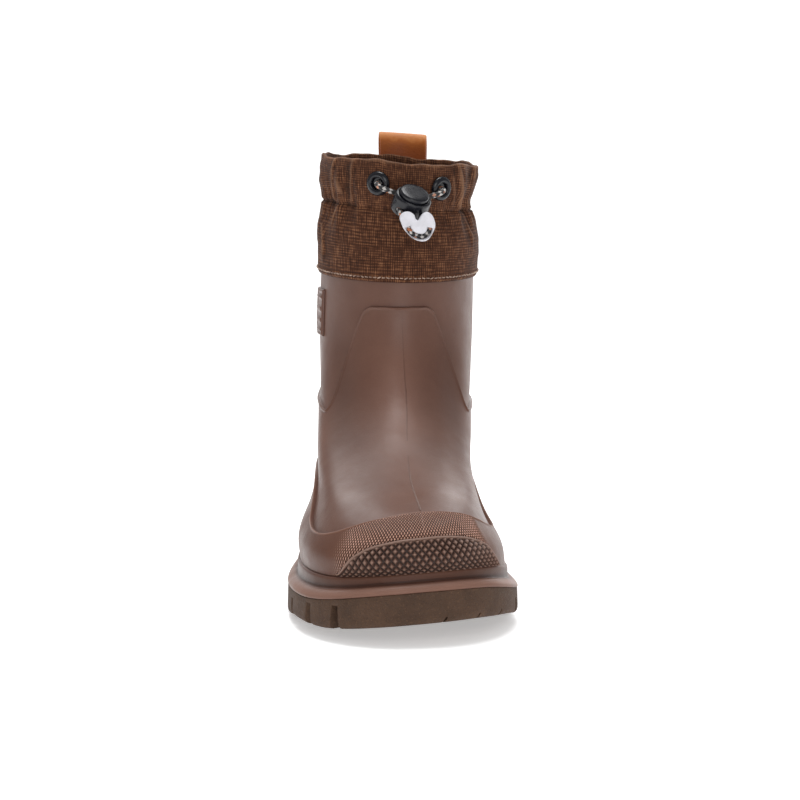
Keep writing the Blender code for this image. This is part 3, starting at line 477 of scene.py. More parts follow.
OUTSOLE_PROFILE = table(
    "inset rise share",
    (TREAD_EDGE, 0.0, 0.0), (0.85, 0.35, 0.0), (0.35, 0.95, 0.0), (0.05, TREAD_ROUND, 0.0), (0.0, 0.0, 0.3),
    (0.15, 0.0, 0.7), (0.25, -0.5, 1.0), (0.32, -0.15, 1.0), (0.55, 0.0, 1.0),
)
INSOLE_PROFILE = table(
    "inset rise share",
    (0.7, GAP, 0.0), (0.1, GAP + 0.5, 0.0), (0.0, GAP + 1.2, 0.0), (0.0, GAP + 3.6, 0.0), (0.2, GAP + 4.4, 0.0),
    (0.8, GAP + 4.9, 0.0), (2.0, GAP + 5.0, 0.0),
)
# Marks of the band's profile rows: painted highlight on the flange bead and painted shade down the band's wall above
# it
BAND_LIGHT_MARKS = [
    0.35, 0.44, 0.50, 0.53, 0.55, 0.56, 0.55, 0.53, 0.50, 0.44, 0.25, 0.10, 0.12, 0.24, 0.28, 0.32, 0.40, 0.40, 0.40
]

EYELET_PROFILE = table(
    "radius height",
    (5.20, 0.00), (5.22, 0.35), (4.98, 0.90), (4.42, 1.42), (3.75, 1.70), (3.05, 1.55), (2.60, 1.05),
    (2.42, 0.20),
)
BUTTON_PROFILE = table(
    "radius height",
    (0.0, 3.20), (3.2, 3.20), (5.4, 3.20), (6.05, 3.35), (6.3, 3.80), (6.3, 4.60), (6.3, 5.35), (6.2, 5.90),
    (5.8, 6.28), (5.0, 6.48), (3.8, 6.56), (2.4, 6.58), (1.2, 6.58), (0.0, 6.58),
)

# Studio, in metres and watts
FLOOR_PATH = ((-3.0, 0.0), (0.0, 0.0), (1.6, 0.0), (2.2, 0.12), (2.5, 0.6), (2.6, 1.6), (2.6, 3.2))
FLOOR_STEPS = 60
FLOOR_COLUMNS = 9
FLOOR_WIDE = 4.0
FLOOR_GLOW = 0.39
SKY_STRENGTH = 0.4
LAMPS = table(
    "name place aim size power",
    ("overhead", (0.0, 0.4, 1.95), (0.0, 0.2, 0.1), (1.2, 1.2), 21.0),
    ("top_strip", (-0.08, 0.03, 1.5), (0.0, 0.0, 0.1), (0.15, 0.55), 4.0),
    ("back_left", (-0.42, 1.1, 1.0), (0.0, 0.0, 0.1), (0.7, 0.45), 3.8),
    ("back_right", (0.45, 1.2, 0.85), (0.0, 0.0, 0.1), (0.5, 0.5), 3.2),
    ("low_right", (1.0, 1.5, 0.35), (0.0, 0.0, 0.08), (0.5, 0.5), 1.6),
    ("front_fill", (0.0, -1.8, 0.7), (0.0, 0.0, 0.1), (1.2, 0.8), 8.0),
)
LENS = 126.63
SENSOR = 36.0
CAMERA_PLACE = (-0.0657, -1.1852, 0.221)
CAMERA_TURN = (math.radians(83.412), 0.0, math.radians(-3.25))


def unit(vectors):
    return vectors / np.linalg.norm(vectors, axis=-1, keepdims=True)


def circle(steps):
    """Even points of a circle of radius 1, as two rows of numbers."""
    angle = 2 * math.pi * np.arange(steps) / steps
    return np.cos(angle), np.sin(angle)


def column_of(rows, name):
    return np.array([getattr(row, name) for row in rows], float)


def through(rows, column, at, place="along"):
    """Smooth curve through one column of a table, read at the places given."""
    return smooth(column_of(rows, place), column_of(rows, column), at)


def smooth(places, values, at):
    slopes = np.gradient(values, places)
    at = np.clip(np.asarray(at, float), places[0], places[-1])
    left = np.clip(np.searchsorted(places, at) - 1, 0, len(places) - 2)
    width = places[left + 1] - places[left]
    s = (at - places[left]) / width
    start = (1 + 2 * s) * (1 - s) ** 2 * values[left] + s * (1 - s) ** 2 * width * slopes[left]
    stop = s * s * (3 - 2 * s) * values[left + 1] + s * s * (s - 1) * width * slopes[left + 1]
    return start + stop


def soft_step(share):
    """Step from 0 to 1 with both ends eased."""
    share = np.clip(share, 0, 1)
    return share * share * (3 - 2 * share)


def ease(value, low, high):
    return soft_step((value - low) / (high - low))


def away_from(turn, middle):
    """Turns from a place to another, the short way round."""
    return (np.asarray(turn) - middle + 0.5) % 1.0 - 0.5


def along_of(turn):
    """Share of the length from the heel to the toe at a turn."""
    return 0.5 - 0.5 * np.cos(2 * math.pi * np.asarray(turn, float))


def plan_half(along, inset):
    """Half width of the plan outline, rounded at both ends."""
    length = SOLE_LENGTH - 2 * inset
    half = through(PLAN, "half", along) - inset
    to_heel = np.clip(along * length / (HEEL_ROUND - inset), 0, 1)
    to_toe = np.clip((1 - along) * length / (TOE_ROUND - inset), 0, 1)
    heel = (1 - (1 - to_heel) ** HEEL_BLUNT) ** (1 / HEEL_BLUNT)
    toe = (1 - (1 - to_toe) ** TOE_BLUNT) ** (1 / TOE_BLUNT)
    return half * heel * toe


def side_of(turn):
    return np.where(np.asarray(turn) % 1.0 < 0.5, -1.0, 1.0)


def plan(turn, inset):
    """Plan outline of the sole at a turn, drawn in by an inset."""
    along = along_of(turn)
    half = side_of(turn) * plan_half(along, inset)
    x = through(PLAN, "centre", along) + half
    y = (SOLE_LENGTH / 2 - inset) * (1 - 2 * along) + toe_skew(along) * half
    return x, y


def toe_skew(along):
    """How much the toe's outer corner is set forward of its inner corner, per millimetre across."""
    return TOE_SKEW * soft_step((along - SKEW_FROM) / SKEW_RUN)


def toe_twist(y):
    """How much higher the toe's inner side stands than its outer side, per millimetre across."""
    return TOE_TWIST * soft_step((along_y(y) - TWIST_FROM) / TWIST_RUN)


def along_y(y):
    return np.clip(0.5 - np.asarray(y, float) / SOLE_LENGTH, 0, 1)


def tread_height(y):
    return np.interp(along_y(y), column_of(TREAD, "along"), column_of(TREAD, "height"))


def outsole_height(y):
    return through(SEATS, "outsole", along_y(y))


def feather_height(y):
    """Height of the line where the upper meets the sole."""
    return through(SEATS, "feather", along_y(y))


def loop_column(column, level):
    return smooth(np.arange(len(LOOPS), dtype=float), column_of(LOOPS, column), level)


def upper_point(turn, level, twisted=True):
    """Point of the upper's outer face, with or without the twist of the toe."""
    turn, level = np.broadcast_arrays(np.asarray(turn, float), np.asarray(level, float))
    along = along_of(turn)
    share = loop_column("plan", level)
    half = loop_column("half", level)
    ball = LOOPS[0].half
    shaped = side_of(turn) * plan_half(along, UPPER_INSET) / ball
    oval = -np.sin(2 * math.pi * turn)
    middle = share * through(PLAN, "centre", along) + loop_column("shift", level)
    x = middle + half * (share * shaped + (1 - share) * oval)
    y = (1 - along) * loop_column("back_y", level) + along * loop_column("front_y", level)
    y = y + toe_skew(along) * half * share * shaped
    z = (1 - along) * loop_column("back_z", level) + along * loop_column("front_z", level)
    first = LOOPS[0]
    chord = first.back_z + along * (first.front_z - first.back_z)
    base_y = first.back_y + along * (first.front_y - first.back_y) + toe_skew(along) * ball * shaped
    z = z + loop_column("droop", level) * (feather_height(base_y) + GAP - chord)
    z = z + loop_column("tilt", level) * (x - middle)
    if twisted:
        z = z + share * toe_twist(base_y) * half * shaped
    return np.stack([x, y, z], axis=-1)


def beside(level):
    """Levels a little under and over a level, no farther than the upper's ends."""
    level = np.asarray(level, float)
    return np.maximum(level - SLOPE_LEVEL, 0.0), np.minimum(level + SLOPE_LEVEL, RIM_LEVEL)


def upper_normal(turn, level):
    """Outward direction of the upper's face."""
    low, high = beside(level)
    around = upper_point(turn + SLOPE_TURN, level) - upper_point(turn - SLOPE_TURN, level)
    up = upper_point(turn, high) - upper_point(turn, low)
    normal = np.cross(around, up)
    normal[..., 2] *= np.clip(2 * np.asarray(level, float), 0, 1)
    return unit(normal)


def lifted(turn, level, lift):
    turn, level, lift = np.broadcast_arrays(np.asarray(turn, float), np.asarray(level, float), lift)
    return upper_point(turn, level) + upper_normal(turn, level) * lift[..., None]


def level_at(turn, height):
    """Level at which the upper reaches a height, turn by turn, the toe's twist left out."""
    levels = np.linspace(0.0, RIM_LEVEL, LEVEL_STEPS)
    found = []
    for one_turn, one_height in zip(np.atleast_1d(turn), np.atleast_1d(height)):
        heights = upper_point(one_turn, levels, twisted=False)[:, 2]
        found.append(np.interp(one_height, np.maximum.accumulate(heights), levels))
    return np.array(found)


def edge_level(rows, turn, lean=0.0):
    """Level of a layer's edge, whose table runs from heel to toe and serves both sides of its lean."""
    mirrored = 0.5 - np.abs(0.5 - (np.asarray(turn) - lean) % 1.0)
    return level_at(turn, through(rows, "height", mirrored, place="turn"))


def fold_height(turn, height):
    """How far the cuff's folds stand out from its even form."""
    total = np.zeros(np.broadcast(turn, height).shape)
    for fold in FOLDS:
        away = away_from(turn, fold.turn) / fold.span
        start = np.clip((height - fold.low) / FOLD_START, 0, 1)
        end = np.clip((fold.high - height) / FOLD_END, 0, 1)
        total = total + fold.height * np.exp(-away * away) * start * end
    return total


def tone(red, green, blue):
    """Linear colour of a screen colour from 0 to 255."""
    made = []
    for value in (red, green, blue):
        share = value / 255
        made.append(share / 12.92 if share <= 0.04045 else ((share + 0.055) / 1.055) ** 2.4)
    return (*made, 1.0)


class Look:
    """A material being built: its nodes, and the shader at its end."""

    def __init__(self, name, **settings):
        self.material = bpy.data.materials.new(name)
        self.material.use_nodes = True
        self.nodes = self.material.node_tree.nodes
        self.links = self.material.node_tree.links
        self.shader = self.nodes["Principled BSDF"]
        self.place = self.nodes.new("ShaderNodeTexCoord").outputs["Object"]
        self.normal = None
        self.feed(self.shader, settings)

    def put(self, socket, value):
        """Set a socket to a value, or link it to another node's output."""
        if isinstance(value, bpy.types.NodeSocket):
            self.links.new(value, socket)
        else:
            socket.default_value = value

    def feed(self, node, values):
        """Fill sockets by name, an underscore standing for a space."""
        for name, value in values.items():
            self.put(node.inputs[name.replace("_", " ")], value)

    def node(self, kind, **values):
        node = self.nodes.new("ShaderNode" + kind)
        self.feed(node, values)
        return node

    def noise(self, size, detail=3.0, rough=0.55, place=None):
        """Noise whose blots are about size millimetres across."""
        scale = 1.0 / (size * (1.0 if place else MM))
        node = self.node("TexNoise", Vector=place or self.place, Scale=scale, Detail=detail, Roughness=rough)
        return node.outputs["Fac"]

    def cells(self, size):
        return self.node("TexVoronoi", Vector=self.place, Scale=1.0 / (size * MM)).outputs["Distance"]

    def pattern(self):
        node = self.node("UVMap")
        node.uv_map = PATTERN
        return node.outputs["UV"]

    def stretch(self, place, across, up):
        """The place with its two directions scaled apart."""
        return self.node("Mapping", Vector=place, Scale=(across, up, 1.0)).outputs["Vector"]

    def waves(self, pitch, direction, place, wander):
        """Threads a pitch apart, in the units of the place."""
        scale = 2 * math.pi / (20 * pitch)
        node = self.node("TexWave", Vector=place, Scale=scale, Distortion=wander, Detail=1.0, Detail_Scale=1.5)
        node.bands_direction = direction
        return node.outputs["Fac"]

    def mark(self, name):
        node = self.node("Attribute")
        node.attribute_name = name
        return node.outputs["Fac"]

    def work(self, kind, first, second):
        node = self.node("Math")
        node.operation = kind
        self.put(node.inputs[0], first)
        self.put(node.inputs[1], second)
        return node.outputs["Value"]

    def ramp(self, source, *stops):
        """Colours at shares from 0 to 1 of the source."""
        node = self.node("ValToRGB", Fac=source)
        band = node.color_ramp
        while len(band.elements) < len(stops):
            band.elements.new(0.5)
        for element, (share, colour) in zip(band.elements, stops):
            element.position = share
            element.color = colour
        return node.outputs["Color"]

    def mix(self, share, first, second, how="MIX"):
        node = self.node("Mix")
        node.data_type = "RGBA"
        node.blend_type = how
        self.put(node.inputs["Factor"], share)
        ends = [socket for socket in node.inputs if socket.type == "RGBA"]
        self.put(ends[0], first)
        self.put(ends[1], second)
        return [socket for socket in node.outputs if socket.type == "RGBA"][0]

    def bump(self, source, height):
        """Unevenness of the surface, up to height millimetres."""
        node = self.node("Bump", Height=source, Strength=1.0, Distance=height * MM)
        if self.normal:
            self.put(node.inputs["Normal"], self.normal)
        self.normal = node.outputs["Normal"]

    def spread(self, source, socket, low, high):
        """Feed a socket with the source, between two values."""
        node = self.node("MapRange", Value=source, From_Min=0.3, From_Max=0.7, To_Min=low, To_Max=high)
        self.put(self.shader.inputs[socket], node.outputs["Result"])

    def colour(self, source):
        self.put(self.shader.inputs["Base Color"], source)

    def made(self):
        if self.normal:
            self.put(self.shader.inputs["Normal"], self.normal)
        return self.material


def rubber_look(name, dark, light, rough=(0.35, 0.46), raised=None, **settings):
    """Moulded rubber: faint mottling, fine grain and uneven gloss; given raised tones, painted shade where the rise
    mark is low and a painted highlight where it is high.
    """
    look = Look(name, **{"Specular_IOR_Level": 0.4, **settings})
    blots = look.noise(22.0, 4.0)
    specks = look.noise(0.5, 2.0)
    colour = look.ramp(blots, (0.32, dark), (0.68, light))
    if raised:
        hollow, top = raised
        # Painted shade where the rise mark is under the neutral mark, painted highlight where it is over it
        rise = look.mark("rise")
        colour = look.mix(look.ramp(rise, (0.05, WHITE), (SMOOTH_MARK, BLACK)), colour, hollow)
        colour = look.mix(look.ramp(rise, (SMOOTH_MARK, BLACK), (HIGHLIGHT_FULL_MARK, WHITE)), colour, top)
    speckle = look.ramp(specks, (0.3, tone(70, 50, 42)), (0.7, tone(190, 165, 150)))
    look.colour(look.mix(0.10, colour, speckle, "OVERLAY"))
    look.spread(look.noise(9.0, 3.0), "Roughness", *rough)
    look.bump(look.noise(0.35, 2.0), 0.05)
    look.bump(look.noise(6.0, 2.0), 0.10)
    return look.made()


def cloth_look():
    """Waxed cloth with a square weave of uneven threads; paler along its folds, partly wear and partly painted
    highlight, and darker with painted shade beside them.
    """
    look = Look("waxed_cloth", Roughness=0.75, Specular_IOR_Level=0.15)
    place = look.pattern()
    uneven = look.noise(8.0, 3.0, place=place)
    warp = look.waves(WEAVE_PITCH, "X", place, 0.9)
    weft = look.waves(WEAVE_PITCH, "Y", place, 0.9)
    streaks = look.work(
        "ADD", look.work("MULTIPLY", look.noise(1.0, 2.0, place=look.stretch(place, 1.9, 0.18)), 1.15),
        look.work("MULTIPLY", look.noise(1.0, 2.0, place=look.stretch(place, 0.18, 1.9)), 0.85),
    )
    threads = look.work("MULTIPLY", look.work("ADD", warp, weft), 0.5)
    shade = look.work("ADD", look.work("MULTIPLY", threads, 0.28), look.work("MULTIPLY", streaks, 0.58))
    shade = look.work("ADD", shade, look.work("MULTIPLY", uneven, 0.24))
    shade = look.work("MULTIPLY", shade, 0.5)
    base = look.ramp(shade, (0.29, tone(36, 18, 9)), (0.43, tone(73, 42, 26)), (0.57, tone(140, 96, 67)))
    lit_and_worn = look.work("ADD", look.mark("wear"), look.work("MULTIPLY", look.work("SUBTRACT", uneven, 0.5), 0.5))
    # Pale tone: partly wear, partly painted highlight on folds and creases
    base = look.mix(look.ramp(lit_and_worn, (0.12, BLACK), (0.95, MOST)), base, tone(150, 112, 86))
    # Dark tone: painted shade beside the creases and in the folds' hollows, and darker along the gather seam
    darker = look.work("MULTIPLY", lit_and_worn, -1.0)
    look.colour(look.mix(look.ramp(darker, (0.08, BLACK), (0.5, MOST)), base, tone(26, 13, 7)))
    look.bump(threads, 0.14)
    look.bump(look.noise(1.8, 3.0, place=place), 0.15)
    return look.made()


def leather_look():
    look = Look("strap_leather", Roughness=0.5, Specular_IOR_Level=0.2, Coat_Weight=0.05, Coat_Roughness=0.35)
    # The mark climbs up the loop: painted shade low on it, painted highlight at its top edge
    up = look.mark("wear")
    blots = look.noise(5.0, 4.0)
    height = look.work("ADD", up, look.work("MULTIPLY", look.work("SUBTRACT", blots, 0.5), 0.5))
    low, high = (0.0, tone(134, 69, 35)), (1.0, tone(196, 126, 66))
    look.colour(look.ramp(height, low, (0.4, tone(146, 74, 30)), (0.75, tone(162, 88, 34)), high))
    look.bump(look.cells(0.55), 0.10)
    look.bump(look.noise(1.6, 3.0), 0.10)
    look.spread(blots, "Roughness", 0.42, 0.6)
    return look.made()


def tread_look():
    """Rough speckled sole rubber."""
    look = Look("tread_rubber", Specular_IOR_Level=0.35)
    blots = look.noise(9.0, 4.0)
    specks = look.noise(0.75, 3.0, 0.65)
    colour = look.ramp(blots, (0.3, tone(64, 44, 30)), (0.7, tone(80, 57, 41)))
    pale = look.ramp(specks, (0.56, BLACK), (0.72, WHITE))
    dark = look.ramp(look.noise(0.9, 3.0, 0.65), (0.30, WHITE), (0.42, BLACK))
    colour = look.mix(look.work("MULTIPLY", pale, 0.28), colour, tone(138, 110, 88))
    look.colour(look.mix(look.work("MULTIPLY", dark, 0.6), colour, tone(48, 34, 26)))
    look.spread(specks, "Roughness", 0.62, 0.9)
    look.bump(specks, 0.35)
    look.bump(look.noise(2.2, 3.0), 0.3)
    return look.made()


def mottled_look(name, blots, low, high, bumps, **settings):
    """Surface of one mottled colour, uneven by noises of given heights."""
    look = Look(name, **settings)
    look.colour(look.ramp(look.noise(*blots), low, high))
    for grain, height in bumps:
        look.bump(look.noise(*grain), height)
    return look


def plastic_look(name, base, rough, **settings):
    high = tuple(min(1.0, 1.25 * value) for value in base)
    look = mottled_look(name, (4.0, 3.0), (0.3, base), (0.7, high), [((0.25, 2.0), 0.02)], **settings)
    look.spread(look.noise(1.2, 3.0), "Roughness", rough - 0.05, rough + 0.07)
    return look.made()


def cord_look():
    look = Look("braided_cord", Roughness=0.6, Sheen_Weight=0.1)
    base = look.ramp(look.noise(0.4, 2.0), (0.3, tone(20, 19, 21)), (0.7, tone(40, 38, 40)))
    base = look.mix(look.work("MULTIPLY", look.mark("pale"), 0.85), base, tone(205, 200, 196))
    look.colour(look.mix(look.work("MULTIPLY", look.mark("orange"), 0.8), base, tone(188, 112, 66)))
    look.bump(look.noise(0.18, 2.0), 0.06)
    return look.made()


def fleece_look(name, dark, light):
    tufts = (2.0, 4.0, 0.6)
    bumps = [(tufts, 0.6), ((0.5, 2.0), 0.2)]
    settings = {"Roughness": 0.9, "Sheen_Weight": 0.35, "Sheen_Roughness": 0.6}
    return mottled_look(name, tufts, (0.3, dark), (0.7, light), bumps, **settings).made()


def thread_look():
    stops = (0.35, tone(120, 92, 76)), (0.65, tone(188, 160, 140))
    bumps = [((0.2, 2.0), 0.05)]
    return mottled_look("hem_thread", (3.0, 3.0), *stops, bumps, Roughness=0.7, Sheen_Weight=0.15).made()


def floor_look():
    stops = (0.2, (0.93, 0.93, 0.93, 1)), (0.8, (0.96, 0.96, 0.96, 1))
    settings = {"Specular_IOR_Level": 0.0, "Roughness": 1.0, "Emission_Color": WHITE, "Emission_Strength": FLOOR_GLOW}
    return mottled_look("pale_floor", (400.0, 2.0), *stops, [], **settings).made()


LOOKS = {
    "rubber": rubber_look("moulded_rubber", tone(96, 65, 53), tone(105, 73, 60)),
    # In each raised pair below, the first tone is painted shade and the second a painted highlight
    "upper": rubber_look(
        "upper_rubber", tone(96, 65, 53), tone(105, 73, 60), raised=(tone(44, 27, 20), tone(168, 126, 110)),
        Specular_IOR_Level=0.36,
    ),
    "guard": rubber_look(
        "guard_rubber", tone(90, 60, 48), tone(100, 68, 55), raised=(tone(5, 3, 2), tone(226, 180, 160)),
        Specular_IOR_Level=0.16,
    ),
    "studs": rubber_look(
        "stud_rubber", tone(78, 52, 42), tone(90, 62, 50), rough=(0.42, 0.58),
        raised=(tone(44, 28, 21), tone(142, 113, 99)),
    ),
    "band": rubber_look(
        "band_rubber", tone(94, 64, 52), tone(105, 73, 60), raised=(tone(56, 35, 28), tone(184, 146, 130)),
        Specular_IOR_Level=0.16,
    ),
    "tread": tread_look(),
    "cloth": cloth_look(),
    "leather": leather_look(),
    "plastic": plastic_look("dark_plastic", tone(11, 12, 19), 0.22, Specular_IOR_Level=0.4),
    "clear": plastic_look("frosted_plastic", tone(212, 211, 217), 0.38, Transmission_Weight=0.15, IOR=1.46),
    "cord": cord_look(),
    "felt": fleece_look("insole_felt_wool", tone(84, 72, 62), tone(112, 98, 86)),
    "fleece": fleece_look("lining_fleece", tone(58, 44, 36), tone(84, 66, 55)),
    "thread": thread_look(),
    "floor": floor_look(),
}


def relief(turn, height):
    """Soft ridges and hollows moulded into the upper, over its even form."""
    total = np.zeros(np.broadcast(turn, height).shape)
    for form in RELIEF:
        away = away_from(turn, form.turn) / form.span
        tall = (height - form.height) / form.reach
        total = total + form.rise * np.exp(-away * away - tall * tall)
    return total


def skin(turn, level, lift):
    """Point over the upper's outer face, with its soft forms."""
    return lifted(turn, level, lift + relief(turn, upper_point(turn, level)[..., 2]))


def ripple(u, v, size, seed):
    """Even, repeatable unevenness of about one unit, from a few crossed waves."""
    total = np.zeros(np.broadcast(u, v).shape)
    for k in range(RIPPLE_WAVES):
        angle = 2.4 * k + seed
        pace = (0.7 + 0.23 * k) / size
        total = total + np.sin(2 * math.pi * pace * (u * math.cos(angle) + v * math.sin(angle)) + 1.7 * seed * k)
    return total / RIPPLE_WAVES


def ripples(rows, u, v):
    return sum(row.high * ripple(u, v, row.size, row.seed) for row in rows)


def sway(waves, at):
    return sum(high * np.sin(pace * at) for high, pace in waves)


def grid(rows, columns, round_columns=True, round_rows=False):
    """Row and column numbers, not wrapped, of the corners of a grid's faces."""
    i = np.arange(rows if round_rows else rows - 1)
    j = np.arange(columns if round_columns else columns - 1)
    i, j = np.meshgrid(i, j, indexing="ij")
    row = np.stack([i, i, i + 1, i + 1], axis=-1).reshape(-1, 4)
    column = np.stack([j, j + 1, j + 1, j], axis=-1).reshape(-1, 4)
    return row, column


def grid_faces(rows, columns, round_columns=True, round_rows=False):
    row, column = grid(rows, columns, round_columns, round_rows)
    return ((row % rows) * columns + column % columns).tolist()


def capped(rows, columns):
    """Faces of a tube of rows, and one over each end."""
    last = columns * (rows - 1)
    return grid_faces(rows, columns) + [list(range(columns)), list(range(last, last + columns))]


def sided(rows, columns):
    """Faces of a sleeve whose rows close on themselves, and one over each open side."""
    sides = [list(range(end, columns * rows, columns)) for end in (0, columns - 1)]
    return grid_faces(rows, columns, False, True) + sides


def placed(local, place):
    """Points of a fitting's own frame, laid in the boot's."""
    turn = np.array(place)
    return np.asarray(local, float) @ turn[:3, :3].T + turn[:3, 3]


def mesh_of(name, points, faces):
    """New object from points in millimetres and faces of any size."""
    mesh = bpy.data.meshes.new(name)
    mesh.from_pydata((np.asarray(points, float).reshape(-1, 3) * MM).tolist(), [], faces)
    thing = bpy.data.objects.new(name, mesh)
    bpy.context.scene.collection.objects.link(thing)
    return thing


def give_uv(thing, values):
    """Lay the pattern coordinates of each face corner, in millimetres."""
    layer = thing.data.uv_layers.new(name=PATTERN)
    layer.data.foreach_set("uv", np.asarray(values, np.float32).ravel())


def give_mark(thing, name, values):
    mark = thing.data.attributes.new(name, "FLOAT", "POINT")
    mark.data.foreach_set("value", np.asarray(values, np.float32).ravel())


def clean(thing, weld=WELD_FINE):
    """Weld what meets and turn the faces outward."""
    work = bmesh.new()
    work.from_mesh(thing.data)
    if weld:
        bmesh.ops.remove_doubles(work, verts=work.verts, dist=weld * MM)
        bmesh.ops.dissolve_degenerate(work, edges=work.edges, dist=weld * MM)
    bmesh.ops.recalc_face_normals(work, faces=work.faces)
    work.to_mesh(thing.data)
    work.free()


def finish_piece(thing, look, body="boot", stands_for=(), sharp=40.0):
    """Shade, paint and seat a piece, and hide the parts it stands for."""
    thing.data.shade_smooth()
    if sharp:
        thing.data.set_sharp_from_angle(angle=math.radians(sharp))
    thing.data.materials.clear()
    thing.data.materials.append(LOOKS[look])
    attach(thing, body)
    if stands_for:
        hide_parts(*stands_for)
    return thing


def piece(name, points, faces, look, slot, stands_for=(), sharp=0, weld=WELD_FINE, **marks):
    """Finished piece from points, faces and the marks that its look reads."""
    thing = mesh_of(name, points, faces)
    for mark, values in marks.items():
        give_mark(thing, mark, values)
    clean(thing, weld)
    return finish_piece(thing, look, stands_for=stands_for, sharp=sharp)


def apply_modifiers(thing):
    """Keep the result of the modifiers as the piece's own mesh."""
    bpy.context.view_layer.update()
    graph = bpy.context.evaluated_depsgraph_get()
    made = bpy.data.meshes.new_from_object(thing.evaluated_get(graph))
    thing.modifiers.clear()
    thing.data = made


def cut_away(thing, cutters):
    """Cut helper objects out of a piece, then remove them."""
    for cutter in cutters:
        clean(cutter)
        change = thing.modifiers.new("cut", "BOOLEAN")
        change.operation = "DIFFERENCE"
        change.solver = "EXACT"
        change.object = cutter
    apply_modifiers(thing)
    for cutter in cutters:
        bpy.data.objects.remove(cutter, do_unlink=True)


def bevel(thing, width, segments=2, angle=35.0):
    change = thing.modifiers.new("bevel", "BEVEL")
    change.width = width * MM
    change.segments = segments
    change.limit_method = "ANGLE"
    change.angle_limit = math.radians(angle)
    apply_modifiers(thing)


def tube_mesh(name, path, radius, sides):
    """Round bar along points in millimetres, closed at both ends."""
    path = np.array([tuple(point) for point in path], float)
    return mesh_of(name, tube_points(path, radius, sides), capped(len(path), sides))


def tube_frames(path):
    """Directions across a path, turning no more than the path does."""
    ahead = unit(np.gradient(path, axis=0))
    across = Vector(ahead[0]).orthogonal().normalized()
    sideways = []
    for direction in ahead:
        direction = Vector(direction)
        across = (across - direction * across.dot(direction)).normalized()
        sideways.append((tuple(across), tuple(direction.cross(across))))
    return np.array(sideways)


def tube_points(path, radius, sides):
    """Rings of points round a path, the radius one number or one for each point."""
    across, aside = np.moveaxis(tube_frames(path), 1, 0)[:, :, None]
    cos, sin = circle(sides)
    return path[:, None] + radius * (cos[:, None] * across + sin[:, None] * aside)


def turned_mesh(name, profile, steps, place):
    """Piece turned about its own Z axis from a profile that starts and ends on the axis or is closed."""
    profile = np.asarray(profile, float)
    cos, sin = circle(steps)
    radius = profile[:, :1]
    local = [radius * cos, radius * sin, np.repeat(profile[:, 1:], steps, axis=1)]
    closed = max(profile[0, 0], profile[-1, 0]) >= WELD
    faces = grid_faces(len(profile), steps, round_rows=closed)
    thing = mesh_of(name, placed(np.stack(local, axis=-1), place), faces)
    clean(thing)
    return thing


def curve_through(knots, count):
    """Evenly spaced points of a smooth curve through the knots."""
    knots = np.array([tuple(knot) for knot in knots], float)
    lengths = np.linalg.norm(np.diff(knots, axis=0), axis=1)
    places = np.concatenate([[0.0], np.cumsum(lengths)])
    at = np.linspace(0.0, places[-1], count)
    return np.stack([smooth(places, knots[:, axis], at) for axis in range(knots.shape[1])], axis=-1)


def rise_rate(turn, level):
    """Millimetres of surface for each level, at a place on the upper."""
    low, high = beside(level)
    return np.linalg.norm(upper_point(turn, high) - upper_point(turn, low), axis=-1) / (high - low)


def turn_rate(turn, level):
    """Millimetres of surface for each full turn, at a place on the upper."""
    run = upper_point(turn + TURN_STEP, level) - upper_point(turn - TURN_STEP, level)
    return np.linalg.norm(run, axis=-1) / (2 * TURN_STEP)


def slant(turns, levels):
    """How much longer an edge is than its run round the boot."""
    points = upper_point(turns, levels)
    run = turn_rate(turns, levels) * np.gradient(turns)
    climb = np.gradient(points[:, 2])
    return np.minimum(np.sqrt(1 + (climb / run) ** 2), SLANT_MOST)


def build_upper():
    turns = np.concatenate([
        np.arange(0.0, FRONT_FROM, SIDE_STEP), np.arange(FRONT_FROM, FRONT_TO, FRONT_STEP),
        np.arange(FRONT_TO, 1.0, SIDE_STEP),
    ])
    edge = edge_level(VAMP_EDGE, turns, VAMP_LEAN)
    step = slant(turns, edge) / rise_rate(turns, edge)
    first = edge + LIP[0].off * step
    last = edge + LIP[-1].off * step
    rows = [(first * (k / UPPER_ROWS) ** ROW_CROWD, VAMP_STEP) for k in range(UPPER_ROWS)]
    rows += [(edge + lip.off * step, lip.share * VAMP_STEP) for lip in LIP]
    rows += [(last + (RUBBER_TOP - last) * k / SHAFT_ROWS, 0.0) for k in range(1, SHAFT_ROWS + 1)]
    rows += [(np.full(len(turns), RUBBER_TOP * k / INNER_ROWS), -WALL) for k in range(INNER_ROWS, -1, -1)]
    levels = np.maximum([level for level, _ in rows], 0.0)
    lifts = np.array([lift for _, lift in rows])
    points = skin(turns, levels, lifts[:, None])
    # Painted shade in the relief's hollows and a painted highlight on its crests
    rise = SMOOTH_MARK + RELIEF_LIGHT_MARK * relief(turns, points[..., 2])
    faces = grid_faces(len(rows), len(turns), round_rows=True)
    piece("upper_shell", points, faces, "upper", "brown_rubber", ["upper"], sharp=55.0, rise=rise)


def build_parting_line():
    """Thin moulding ridge down the front of the upper and over the toe guard."""
    for name, rows, lift in (
        ("parting_ridge_upper", PARTING_UPPER, VAMP_STEP), ("parting_ridge_guard", PARTING_GUARD, MUDGUARD_TOP)
    ):
        rows = rows[::-1]
        heights = np.linspace(rows[-1].height, rows[0].height, RIDGE_STEPS)
        turns = through(rows, "turn", heights, place="height")
        stand = through(rows, "stand", heights, place="height")
        levels = level_at(turns, heights)
        across = turns[:, None] + np.array(RIDGE_ACROSS) / turn_rate(turns, levels)[:, None]
        outer = skin(across, levels[:, None], lift + stand[:, None] * np.array(RIDGE_CROWN) - RIDGE_SINK)
        inner = skin(across, levels[:, None], lift - RIDGE_DEEP)
        ring = np.concatenate([outer, inner[:, ::-1]], axis=1)
        piece(name, ring, capped(*ring.shape[:2]), "rubber", "brown_rubber")


